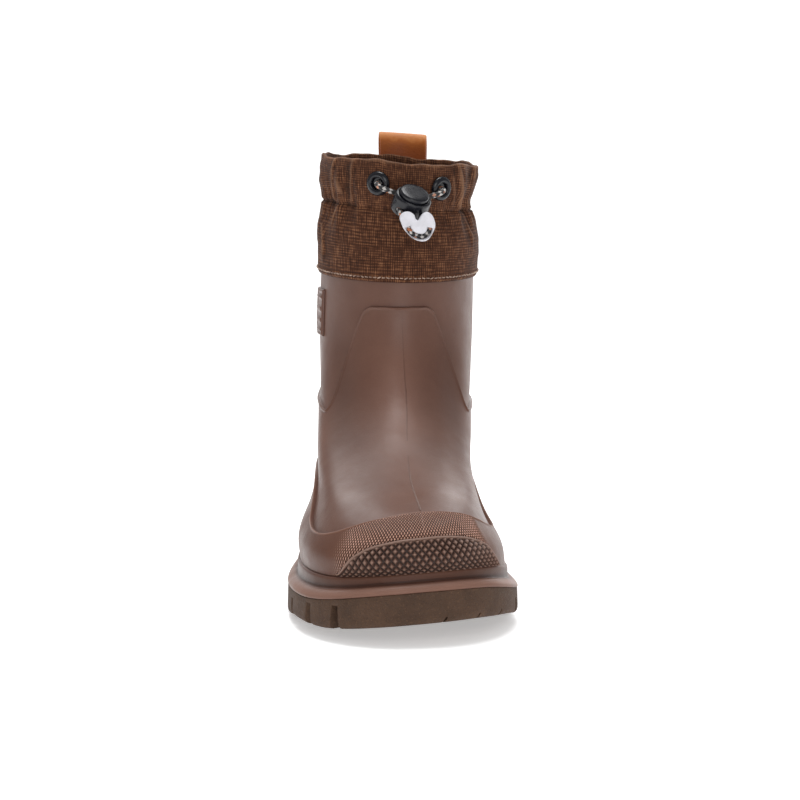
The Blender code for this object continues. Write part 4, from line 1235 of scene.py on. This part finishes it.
def toe_ruler(pitch, reach, coarse):
    """Turns at even spacing along the toe, coarser beyond its reach, with their distance from the toe's middle."""
    fine = np.linspace(0.0, 1.0, RULER_STEPS)
    places = upper_point(fine, np.ones(len(fine)))
    run = np.concatenate([[0.0], np.cumsum(np.linalg.norm(np.diff(places, axis=0), axis=1))])
    run -= np.interp(0.5, fine, run)
    count = int(reach / pitch)
    near = np.arange(-count, count + 1) * pitch
    left = np.arange(near[0] - coarse, run[0], -coarse)[::-1]
    right = np.arange(near[-1] + coarse, run[-1] - coarse / 2, coarse)
    spots = np.concatenate([left, near, right])
    return np.interp(spots, run, fine), spots


def climb_levels(turns, low, high):
    """Levels from a low one to a high one, turn by turn, and their distances up the surface."""
    levels = low + (high - low) * np.linspace(0.0, 1.0, CLIMB_STEPS)[:, None]
    points = upper_point(turns, levels)
    steps = np.linalg.norm(np.diff(points, axis=0), axis=2)
    return levels, np.concatenate([np.zeros((1, len(turns))), np.cumsum(steps, axis=0)])


def bumper_top(turns):
    inside = np.clip(turns, BUMPER_EDGE[0].turn, BUMPER_EDGE[-1].turn)
    heights = through(BUMPER_EDGE, "height", inside, place="turn")
    return np.maximum(level_at(inside, heights), BUMPER_LEAST)


def studs(u, v, pitch, flat):
    """Pyramids in a diagonal lattice: 1 at their tops, 0 in the valleys."""
    a = np.abs(((u + v) / pitch) % 1.0 * 2 - 1)
    b = np.abs(((u - v) / pitch) % 1.0 * 2 - 1)
    return np.clip((1 - np.maximum(a, b)) / flat, 0, 1)


def clad(name, turns, spots, low, high, top, tall, under, lip, pitch, stud, look, slot, node, closed):
    """Layer over the upper with a studded outer face and a raised rim along its upper edge."""
    levels, climb = climb_levels(turns, low, high)
    height = climb[-1]
    stretch = slant(turns, high)
    limit = np.maximum(height + lip[0].off * stretch, LEAST_FACE * height)
    even = np.ones(len(turns))
    rows = []
    for k in range(int(np.max(height) / pitch) + 1):
        v = np.minimum(k * pitch, limit)
        share, lit_and_worn, shown = stud(spots, v, height)
        # The stud's mark paints highlight and shade, neutral where no studs are shown
        rows.append((v, top + tall * share * shown, lit_and_worn * shown + SMOOTH_MARK * (1 - shown)))
    # Lip rows take the lip table's marks, a painted highlight along the lip
    for row in lip:
        rows.append((np.clip(height + row.off * stretch, limit, height), even * (top + row.stand), even * row.mark))
    for k in range(UNDER_ROWS + 1):
        rows.append((height * (1 - k / UNDER_ROWS), even * under, even * SMOOTH_MARK))
    run, lift, mark = (np.array(values) for values in zip(*rows))
    found = np.array([np.interp(run[:, i], climb[:, i], levels[:, i]) for i in range(len(turns))]).T
    count = len(rows), len(turns)
    faces = grid_faces(*count, True, True) if closed else sided(*count)
    piece(name, skin(turns, found, lift), faces, look, slot, [node], sharp=24.0, rise=mark)


def build_mudguard():
    pitch = KNURL_PITCH / KNURL_STEPS
    turns, spots = toe_ruler(pitch, KNURL_REACH, COARSE_STEP)
    low = np.full(len(turns), MUDGUARD_FOOT)
    high = edge_level(MUDGUARD_EDGE, turns)
    levels, climb = climb_levels(turns, low, high)
    patch_top = np.where(
        (turns > BUMPER_EDGE[0].turn) & (turns < BUMPER_EDGE[-1].turn),
        [np.interp(level, levels[:, i], climb[:, i]) for i, level in enumerate(bumper_top(turns))], 0.0,
    )

    def stud(u, v, height):
        shown = ease(u, KNURL_LEFT - KNURL_FADE, KNURL_LEFT) * (1 - ease(u, KNURL_RIGHT, KNURL_RIGHT + KNURL_FADE))
        shown = shown * ease(v - patch_top, *KNURL_OVER_PATCH) * ease(height - v, *KNURL_UNDER_LIP)
        share = studs(u, KNURL_RISE * v, KNURL_PITCH, 1.0)
        # The second value paints a highlight on the knurl's tops and shade in its valleys
        return share, np.clip(SMOOTH_MARK + KNURL_GAIN * (share - KNURL_HALF), 0, 1), shown

    clad(
        "mudguard_shell", turns, spots, low, high, MUDGUARD_TOP, KNURL_HIGH, VAMP_STEP + GUARD_SEAT, GUARD_LIP,
        pitch, stud, "guard", "brown_rubber", "mudguard", True,
    )


def build_bumper():
    pitch = STUD_PITCH / STUD_STEPS
    turns, spots = toe_ruler(pitch, KNURL_REACH, COARSE_STEP)
    inside = (turns >= BUMPER_EDGE[0].turn) & (turns <= BUMPER_EDGE[-1].turn)
    turns = turns[inside]
    spots = spots[inside]
    low = np.full(len(turns), BUMPER_FOOT)
    high = bumper_top(turns)

    def stud(u, v, height):
        shown = ease(height - v, *STUD_UNDER_LIP)
        share = studs(u, v, STUD_PITCH, STUD_SLOPE)
        # The second value paints a highlight on the studs' tops and shade between them
        return share, share ** STUD_POWER, shown

    clad(
        "toe_bumper_studs", turns, spots, low, high, STUD_BASE, STUD_HIGH, MUDGUARD_TOP + GAP, PATCH_LIP,
        pitch, stud, "studs", "dark_rubber", "toe_bumper", False,
    )


def sole_turns(stations):
    even = [0.5 - 0.5 * math.cos(math.pi * k / stations) for k in range(stations + 1)]
    fixed = [row.along for row in TREAD]
    alongs = list(fixed)
    for value in even:
        if min(abs(value - other) for other in fixed) > 0.3 / stations:
            alongs.append(value)
    alongs.sort()
    outer = [math.acos(1 - 2 * a) / (2 * math.pi) for a in alongs]
    return np.array(outer + [1 - t for t in reversed(outer[1:-1])])


def sole_piece(name, profile, low, high, stations, inset=0.0, marks=None):
    """Closed piece with the sole's outline, from a profile between two lines of height."""
    turns = sole_turns(stations)
    middle = through(PLAN, "centre", along_of(turns))
    rows = []
    for step in profile:
        x, y = plan(turns, inset + step.inset)
        height = low(y) * (1 - step.share) + high(y) * step.share + step.rise
        rows.append(np.stack([x, y, height + toe_twist(y) * (x - middle)], axis=-1))
    return stack(name, rows, marks)


def ladder_faces(count, first):
    """Faces across a closed row whose points pair up from side to side."""
    faces = [(first, first + 1, first + count - 1)]
    for i in range(1, count // 2 - 1):
        faces.append((first + i, first + i + 1, first + count - i - 1, first + count - i))
    middle = count // 2
    faces.append((first + middle - 1, first + middle, first + middle + 1))
    return faces


def stack(name, rows, marks=None):
    """Closed piece from rows of points laid one on another, each row with its mark."""
    count = len(rows[0])
    ends = ladder_faces(count, 0) + ladder_faces(count, count * (len(rows) - 1))
    thing = mesh_of(name, rows, grid_faces(len(rows), count) + ends)
    if marks:
        give_mark(thing, "rise", np.repeat(marks, count))
    clean(thing)
    return thing


def build_midsole():
    thing = sole_piece(
        "midsole_band", MIDSOLE_PROFILE, outsole_height, feather_height, SOLE_STATIONS, marks=BAND_LIGHT_MARKS
    )
    finish_piece(thing, "band", stands_for=["midsole"], sharp=50.0)


def groove_cutter(groove):
    turn = math.acos(1 - 2 * groove.along) / (2 * math.pi)
    turn = turn if groove.side < 0 else 1 - turn
    x, y = plan(np.array([turn]), 0.0)
    mouth = Vector((x[0], y[0], 0.0))
    inward = (Vector((0.0, y[0] + groove.shift, 0.0)) - mouth).normalized()
    across = Vector((-inward.y, inward.x, 0.0))
    points = []
    for end, narrow in ((mouth - inward * GROOVE_OVERRUN, 1.0), (mouth + inward * groove.reach, GROOVE_TAPER)):
        ground = float(tread_height(end.y))
        for height, width in ((ground - GROOVE_UNDER, GROOVE_MOUTH), (ground + GROOVE_DEPTH, GROOVE_FLOOR)):
            for side in (-0.5, 0.5):
                spot = end + across * side * width * narrow
                points.append((spot.x, spot.y, height))
    return mesh_of("groove", points, BOX_SIDES)


def nick_cutter(nick):
    """Short slanted cut in the tread's front edge."""
    x, y = plan(np.array([nick.turn - SLOPE_TURN, nick.turn, nick.turn + SLOPE_TURN]), 0.0)
    across = Vector((x[2] - x[0], y[2] - y[0], 0.0)).normalized()
    inward = Vector((-across.y, across.x, 0.0))
    middle = x[1] - through(PLAN, "centre", along_of(nick.turn))
    ground = float(tread_height(y[1]) + toe_twist(y[1]) * middle)
    points = []
    for end in (-NICK_DEEP, NICK_DEEP):
        for height in (-NICK_HIGH, nick.tall):
            for side in (-0.5, 0.5):
                spot = Vector((x[1], y[1], ground)) + inward * end + across * (side * NICK_WIDE + nick.lean * height)
                points.append((spot.x, spot.y, ground + height))
    return mesh_of("nick", points, BOX_SIDES)


def build_outsole():
    thing = sole_piece("outsole_tread", OUTSOLE_PROFILE, tread_height, outsole_height, SOLE_STATIONS)
    cut_away(thing, [groove_cutter(groove) for groove in GROOVES] + [nick_cutter(nick) for nick in NICKS])
    bevel(thing, TREAD_BEVEL)
    finish_piece(thing, "tread", stands_for=["outsole"], sharp=35.0)


def build_insole():
    thing = sole_piece(
        "insole_felt", INSOLE_PROFILE, feather_height, feather_height, INSOLE_STATIONS, inset=INSOLE_INSET
    )
    finish_piece(thing, "felt", stands_for=["insole"])


def build_lining():
    """Fleece inside the upper, from the insole to the top of the rubber."""
    turns = np.arange(LINING_COLUMNS) / LINING_COLUMNS
    first = level_at(turns, feather_height(upper_point(turns, 0.0)[:, 1]) + INSOLE_THICK + LINING_FOOT)
    share = np.arange(LINING_ROWS + 1)[:, None] / LINING_ROWS
    rise = first + (RUBBER_TOP - LINING_SHORT - first) * share
    u = turns * LINING_ROUND
    v = rise * LINING_RISE
    lifts = np.concatenate([LINING_FACE + ripples(TUFTS, u, v), np.full(rise.shape, LINING_BACK)])
    points = skin(turns, np.concatenate([rise, rise[::-1]]), lifts)
    piece("fleece_lining", points, grid_faces(*points.shape[:2], round_rows=True), "fleece", "felt")


def build_badge():
    """Bare raised plate with plain ribs on the outer side of the shaft."""
    turns = np.linspace(BADGE_FRONT, BADGE_BACK, BADGE_COLUMNS)
    low, high = (level_at(turns, np.full(BADGE_COLUMNS, height)) for height in (BADGE_LOW, BADGE_HIGH))
    share = np.linspace(0.0, 1.0, BADGE_ROWS)[:, None]
    across = np.linspace(0.0, 1.0, BADGE_COLUMNS)
    levels = low + (high - low) * share
    rim = np.minimum(
        np.minimum(share, 1 - share) * (BADGE_HIGH - BADGE_LOW), np.minimum(across, 1 - across) * BADGE_WIDE
    )
    ribs = ease(np.cos(2 * math.pi * (share * BADGE_RIBS - 0.5)), 0.0, 0.6)
    lift = BADGE_TOP - BADGE_ROUND + BADGE_ROUND * ease(rim, 0.0, BADGE_ROUND)
    lift = lift - BADGE_SUNK * ease(rim, *BADGE_FRAME) + BADGE_RIB * ribs * ease(rim, *BADGE_FIELD)
    points = np.concatenate([skin(turns, levels, lift), skin(turns, levels, BADGE_SEAT)[::-1]])
    piece("side_badge_plate", points, sided(*points.shape[:2]), "rubber", "brown_rubber", ["side_badge"], sharp=50.0)


def crease_height(turn, height):
    """Narrow folds of the cuff, and where shade is painted beside them."""
    stand = np.zeros(np.broadcast(turn, height).shape)
    shade = np.zeros(stand.shape)
    for crease in CREASES:
        at = np.clip((crease.top - height) / (crease.top - crease.low), 0, 1)
        middle = (1 - at) ** 2 * crease.turn_top + 2 * at * (1 - at) * crease.turn_mid + at * at * crease.turn_low
        away = away_from(turn, middle) * CUFF_ROUND / crease.wide
        away = np.where(away > 0, away * CREASE_STEEP, away)
        ends = ease(height - crease.low, *CREASE_START) * (1 - ease(height - crease.top, *CREASE_END))
        stand = stand + crease.high * np.exp(-away * away) * ends
        shade = shade + np.exp(-((np.abs(away) - CREASE_SHADE) ** 2)) * ends
    return stand, shade


def cuff_stand(turn, height):
    """How far the cuff's cloth stands out from its even form, and how much paler (wear and painted highlight) or
    darker (painted shade, and along the seam) it is painted.
    """
    u = turn * CUFF_ROUND
    folds = fold_height(turn, height)
    creases, shade = crease_height(turn, height)
    seam = height - GATHER_HEIGHT - GATHER_TILT * np.sin(2 * math.pi * turn)
    sides = FRONT_CALM + (1 - FRONT_CALM) * ease(np.abs(away_from(turn, 0.5)), *CALM_TO)
    angle = 2 * math.pi * turn
    wave = np.sin(PUCKERS * angle + sway(PUCKER_SWAY, angle))
    puckers = PUCKER_HIGH * wave * sides * np.exp(-(seam / PUCKER_REACH) ** 2)
    trough = -SEAM_DEEP * sides * np.exp(-(seam / SEAM_WIDE) ** 2)
    uneven = ripples(CUFF_UNEVEN, u, height)
    hem = ease(height - HEM_FLAT, 0.0, 3.0)
    away = height - PINCH_HEIGHT
    tall = np.where(away > 0, away / PINCH_UP, away / PINCH_DOWN)
    pinch = np.exp(-(((turn - PINCH_TURN) / PINCH_SPAN) ** 2) - tall ** 2)
    stand = folds + creases + puckers * hem + trough + uneven * hem - PINCH_DEEP * pinch
    # Paler on crease and fold crests, partly wear and partly painted highlight, and on the puckers by the seam
    paler = CREASE_WEAR_AND_HIGHLIGHT * np.clip(creases / CREASE_FULL, 0, 1) + FOLD_WEAR_AND_HIGHLIGHT * np.clip(folds / FOLD_FULL, 0, 1)
    paler = paler + PUCKER_PALE * np.clip(puckers / PUCKER_HIGH, 0, 1) * np.exp(-(seam / PUCKER_PALE_REACH) ** 2)
    # Painted shade beside the creases and in the folds' hollows, and darker along the gather seam
    darker = CREASE_PAINTED_SHADE * np.clip(shade, 0, 1) + FOLD_PAINTED_SHADE * np.clip(-folds / FOLD_FULL, 0, 1)
    darker = darker + SEAM_DARKER * sides * np.exp(-(seam / SEAM_DARK) ** 2)
    return stand, paler - darker


def build_cuff():
    turns = np.arange(CUFF_COLUMNS) / CUFF_COLUMNS
    share = np.linspace(0.0, 1.0, CUFF_ROWS)
    levels = HEM_LEVEL + (RIM_LEVEL - HEM_LEVEL) * share
    turn, level = np.meshgrid(turns, levels)
    height = upper_point(turn, level)[..., 2]
    stand, wear = cuff_stand(turn, height)
    stand = stand + HEM_TUCK * (1 - ease(height - np.min(height, axis=0), 0.0, HEM_ROLL))
    paler = 1 - RIM_PATCHY + RIM_PATCHY * ripple(turn * CUFF_ROUND, height, RIM_BLOT, RIM_SEED)
    wear = wear + RIM_WEAR * ease(share, *RIM_WORN)[:, None] * paler
    outer = skin(turn, level, GAP + CLOTH + stand)
    inner = skin(turn, level, GAP + np.where(stand > 0, INNER_FOLLOW, 1.0) * stand)[::-INNER_SKIP]
    rim = ease(share, RIM_WAVES_FROM, 1.0)[:, None]
    for count, start, rise in RIM_WAVES:
        wave = rise * np.sin(2 * math.pi * count * turns + start)
        outer[..., 2] += wave * rim
        inner[..., 2] += wave * rim[::-INNER_SKIP]
    crown = (outer[-1] + inner[0]) / 2 + np.array([0.0, 0.0, CROWN_RISE])
    points = np.concatenate([outer, crown[None], inner])
    thing = mesh_of("cuff_cloth", points, grid_faces(*points.shape[:2], round_rows=True))
    row, column = grid(*points.shape[:2], round_rows=True)
    tall = np.concatenate([levels, [levels[-1] + 0.05], levels[::-INNER_SKIP], [levels[0]]]) * CUFF_RISE
    give_uv(thing, np.stack([column * CUFF_ROUND / CUFF_COLUMNS, tall[row]], axis=-1))
    give_mark(thing, "wear", np.concatenate([wear, np.full((1, CUFF_COLUMNS), 0.5), 0.0 * wear[::-INNER_SKIP]]))
    clean(thing, weld=0)
    holes = []
    for eyelet in EYELETS:
        ends = [eyelet_place(eyelet) @ Vector((0, 0, end)) for end in (-HOLE_REACH, HOLE_REACH)]
        holes.append(tube_mesh("eyelet_hole", ends, EYELET_BARREL - 0.1, HOLE_SIDES))
    cut_away(thing, holes)
    finish_piece(thing, "cloth", stands_for=["cuff"], sharp=0)
    hem = build_hem_stitches()


def build_hem_stitches():
    """Row of stitches along the hem, each with its ends dipped into the cloth, as one mesh."""
    points = []
    faces = []
    for k in range(HEM_STITCHES):
        jog = sway(STITCH_JOG, k)
        turn = (k + np.array(STITCH_SPAN)) / HEM_STITCHES
        level = HEM_LEVEL + (HEM_ROW + jog * np.array([1.0, -0.8])) / rise_rate(turn, np.full(2, HEM_LEVEL))
        stand, _ = cuff_stand(turn, upper_point(turn, level)[:, 2])
        start, stop = skin(turn, level, GAP + CLOTH + stand)
        out = upper_normal(turn, level).mean(axis=0) * THREAD
        path = np.array([start * (1 - share) + stop * share + out * dip for share, dip in STITCH_BOW])
        first = k * len(path) * STITCH_SIDES
        points.append(tube_points(path, THREAD / 2, STITCH_SIDES))
        faces += [[first + corner for corner in face] for face in capped(len(path), STITCH_SIDES)]
    return piece("hem_stitches", points, faces, "thread", "brown_cloth")


def build_strap():
    """Leather pull loop sewn to the back of the cuff."""
    path = curve_through(STRAP, STRAP_STEPS)
    ahead = unit(np.gradient(path, axis=0))
    side = STRAP_WIDTH / 2
    face = [(STRAP_WIDTH * (k / STRAP_COLUMNS - 0.5), 1.0) for k in range(1, STRAP_COLUMNS)]
    face = [(STRAP_ROUND - side, STRAP_EDGE), *face, (side - STRAP_ROUND, STRAP_EDGE), (side, STRAP_FLANK)]
    loop = face + [(x, -h) for x, h in reversed(face)] + [(-side, -STRAP_FLANK), (-side, STRAP_FLANK)]
    across = np.array([x for x, _ in loop]) + STRAP_CENTRE
    off = np.array([h for _, h in loop]) * LEATHER / 2
    rim = LOOPS[-1]
    rows = []
    for spot, way in zip(path, ahead):
        rise = spot[0] - way[1] * off
        lift = spot[1] + way[0] * off
        turns = -np.arcsin((across - rim.shift) / (rim.half + lift)) / (2 * math.pi)
        heights = rim.back_z + np.minimum(rise, 0.0) + rim.tilt * (across - rim.shift)
        points = lifted(turns, np.minimum(level_at(turns, heights), RIM_LEVEL), lift)
        points[:, 2] += np.maximum(rise, 0.0)
        rows.append(points)
    # Mark for the painted shade low on the loop and the painted highlight at its top
    wear = np.repeat(np.clip((path[:, 0] - STRAP_LIGHT_FROM) / STRAP_LIGHT_RUN, 0, 1), len(loop))
    faces = capped(len(rows), len(loop))
    piece("pull_strap", rows, faces, "leather", "tan_leather", ["pull_loop"], sharp=50.0, weld=0, wear=wear)


def eyelet_place(eyelet):
    turn = np.array([eyelet.turn])
    level = level_at(turn, np.array([eyelet.height]))
    spot = Vector(lifted(turn, level, GAP + CLOTH)[0])
    outward = Vector(upper_normal(turn, level)[0])
    return Matrix.Translation(spot) @ outward.to_track_quat("Z", "X").to_matrix().to_4x4()


def build_eyelets():
    back = -CLOTH - EYELET_REACH
    wall = EYELET_BARREL - 0.3
    # The back narrowed to a dark washer stands for the shade inside the eyelet's hole
    inside = [(EYELET_BORE, -0.6), (EYELET_SHADE_WASHER, -0.9), (EYELET_SHADE_WASHER, back), (wall, back), (wall, 0.0)]
    profile = np.concatenate([curve_through(EYELET_PROFILE, EYELET_ROWS), inside])
    for eyelet in EYELETS:
        thing = turned_mesh("eyelet_" + eyelet.name + "_ring", profile, EYELET_STEPS, eyelet_place(eyelet))
        finish_piece(thing, "plastic", stands_for=["eyelet_" + eyelet.name], sharp=50.0)


def lock_frame():
    ahead = math.sin(LOCK_LEAN)
    rise = math.cos(LOCK_LEAN)
    axis = Vector((math.sin(LOCK_ROLL) * rise, -ahead, math.cos(LOCK_ROLL) * rise))
    across = (Vector((1, 0, 0)) - axis * axis.x).normalized()
    turn = Matrix((across, axis.cross(across), axis)).transposed()
    return Matrix.Translation(LOCK_CENTRE) @ turn.to_4x4()


def build_lock():
    place = lock_frame()
    cos, sin = circle(LOCK_STEPS)
    rows = []
    for half_x, half_y, height in curve_through(LOCK_RINGS, LOCK_ROWS):
        local = [half_x * cos, half_y * sin, np.full(LOCK_STEPS, height)]
        rows.append(placed(np.stack(local, axis=-1), place))
    barrel = stack("cord_lock_body", rows)
    ends = [place @ Vector((0, 0, end)) for end in (BORE_FLOOR, CUT_REACH)]
    cutters = [tube_mesh("bore", ends, LOCK_BORE, BORE_SIDES)]
    for side in (-HOLE_SPREAD, HOLE_SPREAD):
        ends = [place @ Vector((side, end, HOLE_HEIGHT)) for end in (-CUT_REACH, CUT_REACH)]
        cutters.append(tube_mesh("hole", ends, LOCK_HOLE, HOLE_SIDES))
    cut_away(barrel, cutters)
    bevel(barrel, LOCK_BEVEL)
    finish_piece(barrel, "plastic", stands_for=["cord_lock_barrel"], sharp=35.0)
    profile = curve_through(BUTTON_PROFILE, BUTTON_ROWS)
    profile[[0, -1], 0] = 0.0
    button = turned_mesh("cord_lock_cap", profile, BUTTON_STEPS, place)
    finish_piece(
        button, "plastic", body="lock_button", stands_for=["cord_lock_button"], sharp=50.0
    )


def clip_frame():
    """Frame of the end clip: X across, Y up to its lobes, Z out of its front."""
    turn = Matrix(((1, 0, 0), (0, 0, -1), (0, 1, 0)))
    return Matrix.Translation(CLIP_CENTRE) @ turn.to_4x4()


def clip_bend():
    """Path of the cord's loop inside the clip, from the outer lobe round to the inner lobe."""
    place = clip_frame()
    return [place @ Vector((row.across, row.up, 0)) for row in CLIP_LOOP]


def cord_path():
    """Path of the drawcord from behind one eyelet, through lock and clip, to behind the other."""
    lock = lock_frame()
    ways = []
    for eyelet, side in zip(EYELETS, (-1, 1)):
        place = eyelet_place(eyelet)
        door = lock @ Vector((side * HOLE_SPREAD, CORD_DOOR, HOLE_HEIGHT))
        aim = place.inverted() @ door
        aim = Vector((aim.x, aim.y, 0.0)).normalized()
        way = [place @ Vector((0, 0, height)) for height in (-CLOTH - CORD_BEHIND, -CLOTH, CORD_MOUTH)]
        way += [place @ (aim * run.along + Vector((0, 0, run.height))) for run in CORD_RUNS]
        middle = (way[-1] + door) / 2
        way += [middle + Vector((0, -CORD_BOW, 0)), door]
        way += [lock @ Vector((side * HOLE_SPREAD, end, HOLE_HEIGHT)) for end in (CORD_IN, 0.0, CORD_OUT)]
        ways.append(way)
    return curve_through(ways[0] + clip_bend() + ways[1][::-1], CORD_STEPS)


def build_clip():
    """Clear heart-shaped clip that holds the cord's loop."""
    place = clip_frame()
    edge = curve_through(CLIP_OUTLINE + CLIP_OUTLINE[:1], CLIP_STEPS + 1)[:-1]
    ahead = unit(np.roll(edge, -1, axis=0) - np.roll(edge, 1, axis=0))
    inward = np.stack([-ahead[:, 1], ahead[:, 0]], axis=-1)
    probe = len(edge) // 4
    inward *= -np.sign(np.sum(inward[probe] * edge[probe]))
    rows = []
    for k in range(CLIP_ROWS + 1):
        angle = math.pi / 2 * (k / CLIP_ROWS)
        rows.append((CLIP_ROUND * (1 - math.sin(angle)), CLIP_ROUND * (1 - math.cos(angle)) - CLIP_THICK / 2))
    rows += [(inset, -depth) for inset, depth in reversed(rows)]
    points = []
    for inset, depth in rows:
        flat = edge + inward * inset
        points.append(placed(np.column_stack([flat, np.full(len(flat), depth)]), place))
    clip = mesh_of("cord_clip_heart", points, capped(len(rows), len(edge)))
    clean(clip)
    inside = place.inverted()
    channel = [point for point in cord_path() if (inside @ Vector(point)).y < CLIP_TOP]
    forward = place.to_3x3() @ Vector((0, 0, CLIP_WINDOW_DEEP))
    window = curve_through([point + forward for point in clip_bend()[1:-1]], WINDOW_STEPS)
    cut_away(clip, [
        tube_mesh("channel", channel[::2], CORD_RADIUS + GAP, CUTTER_SIDES),
        tube_mesh("window", window, CLIP_WINDOW, CUTTER_SIDES),
    ])
    return finish_piece(clip, "clear", stands_for=["cord_end_clip"], sharp=40.0)


def build_cord(clip):
    """Braided elastic cord with pale and orange flecks."""
    path = cord_path()
    length = float(np.sum(np.linalg.norm(np.diff(path, axis=0), axis=1)))
    along = np.linspace(0.0, length, len(path))[:, None] / BRAID_PITCH
    angle = np.arange(CORD_SIDES) / CORD_SIDES * BRAID_STRANDS
    left = along + angle
    right = along - angle
    over = (np.floor(left) + np.floor(right)) % 2 > 0
    upper = np.where(over, left, right)
    strand = np.floor(upper)
    other = np.floor(np.where(over, right, left))
    weave = 1 - (np.abs(upper % 1.0 - 0.5) * 2) ** 2
    radius = CORD_RADIUS * (1 - BRAID_DEEP + BRAID_DEEP * weave)
    points = tube_points(path, radius[..., None], CORD_SIDES)
    pale = ((strand + other) % 3 == 0) & (weave > FLECK_LEAST)
    orange = ((strand * 2 + other) % 7 == 3) & (weave > FLECK_LEAST)
    thing = piece(
        "drawcord_braid", points, capped(len(path), CORD_SIDES), "cord", "black_cord", ["drawcord"], weld=0,
        pale=pale, orange=orange,
    )


def build_stage():
    """Pale floor that curves up into a backdrop."""
    path = curve_through(FLOOR_PATH, FLOOR_STEPS)
    wide = np.linspace(-FLOOR_WIDE, FLOOR_WIDE, FLOOR_COLUMNS)
    points = [[(max(x, BACKDROP_LEFT) if z > 0.01 else x, y, max(z, 0.0)) for x in wide] for y, z in path]
    floor = mesh_of("studio_floor", np.array(points) / MM, grid_faces(len(path), len(wide), False))
    floor.data.shade_smooth()
    floor.data.materials.append(LOOKS["floor"])


def build_light():
    for name, place, aim, size, power in LAMPS:
        lamp = bpy.data.lights.new(name, "AREA")
        lamp.shape = "RECTANGLE"
        lamp.size, lamp.size_y = size
        lamp.energy = power
        thing = bpy.data.objects.new(name, lamp)
        thing.location = place
        thing.rotation_euler = (Vector(aim) - Vector(place)).to_track_quat("-Z", "Y").to_euler()
        bpy.context.scene.collection.objects.link(thing)
    world = bpy.data.worlds.new("studio")
    world.use_nodes = True
    sky = world.node_tree.nodes["Background"]
    sky.inputs["Color"].default_value = WHITE
    sky.inputs["Strength"].default_value = SKY_STRENGTH
    bpy.context.scene.world = world


def build_camera():
    data = bpy.data.cameras.new("view")
    data.lens = LENS
    data.sensor_width = SENSOR
    data.clip_end = 20.0
    camera = bpy.data.objects.new("view", data)
    camera.location = CAMERA_PLACE
    camera.rotation_euler = CAMERA_TURN
    bpy.context.scene.collection.objects.link(camera)
    bpy.context.scene.camera = camera
    bpy.context.scene.view_settings.view_transform = "Standard"


build_camera()
build_cord(build_clip())
build_upper()
build_parting_line()
build_mudguard()
build_bumper()
build_midsole()
build_outsole()
build_insole()
build_lining()
build_badge()
build_cuff()
build_strap()
build_eyelets()
build_lock()
build_stage()
build_light()
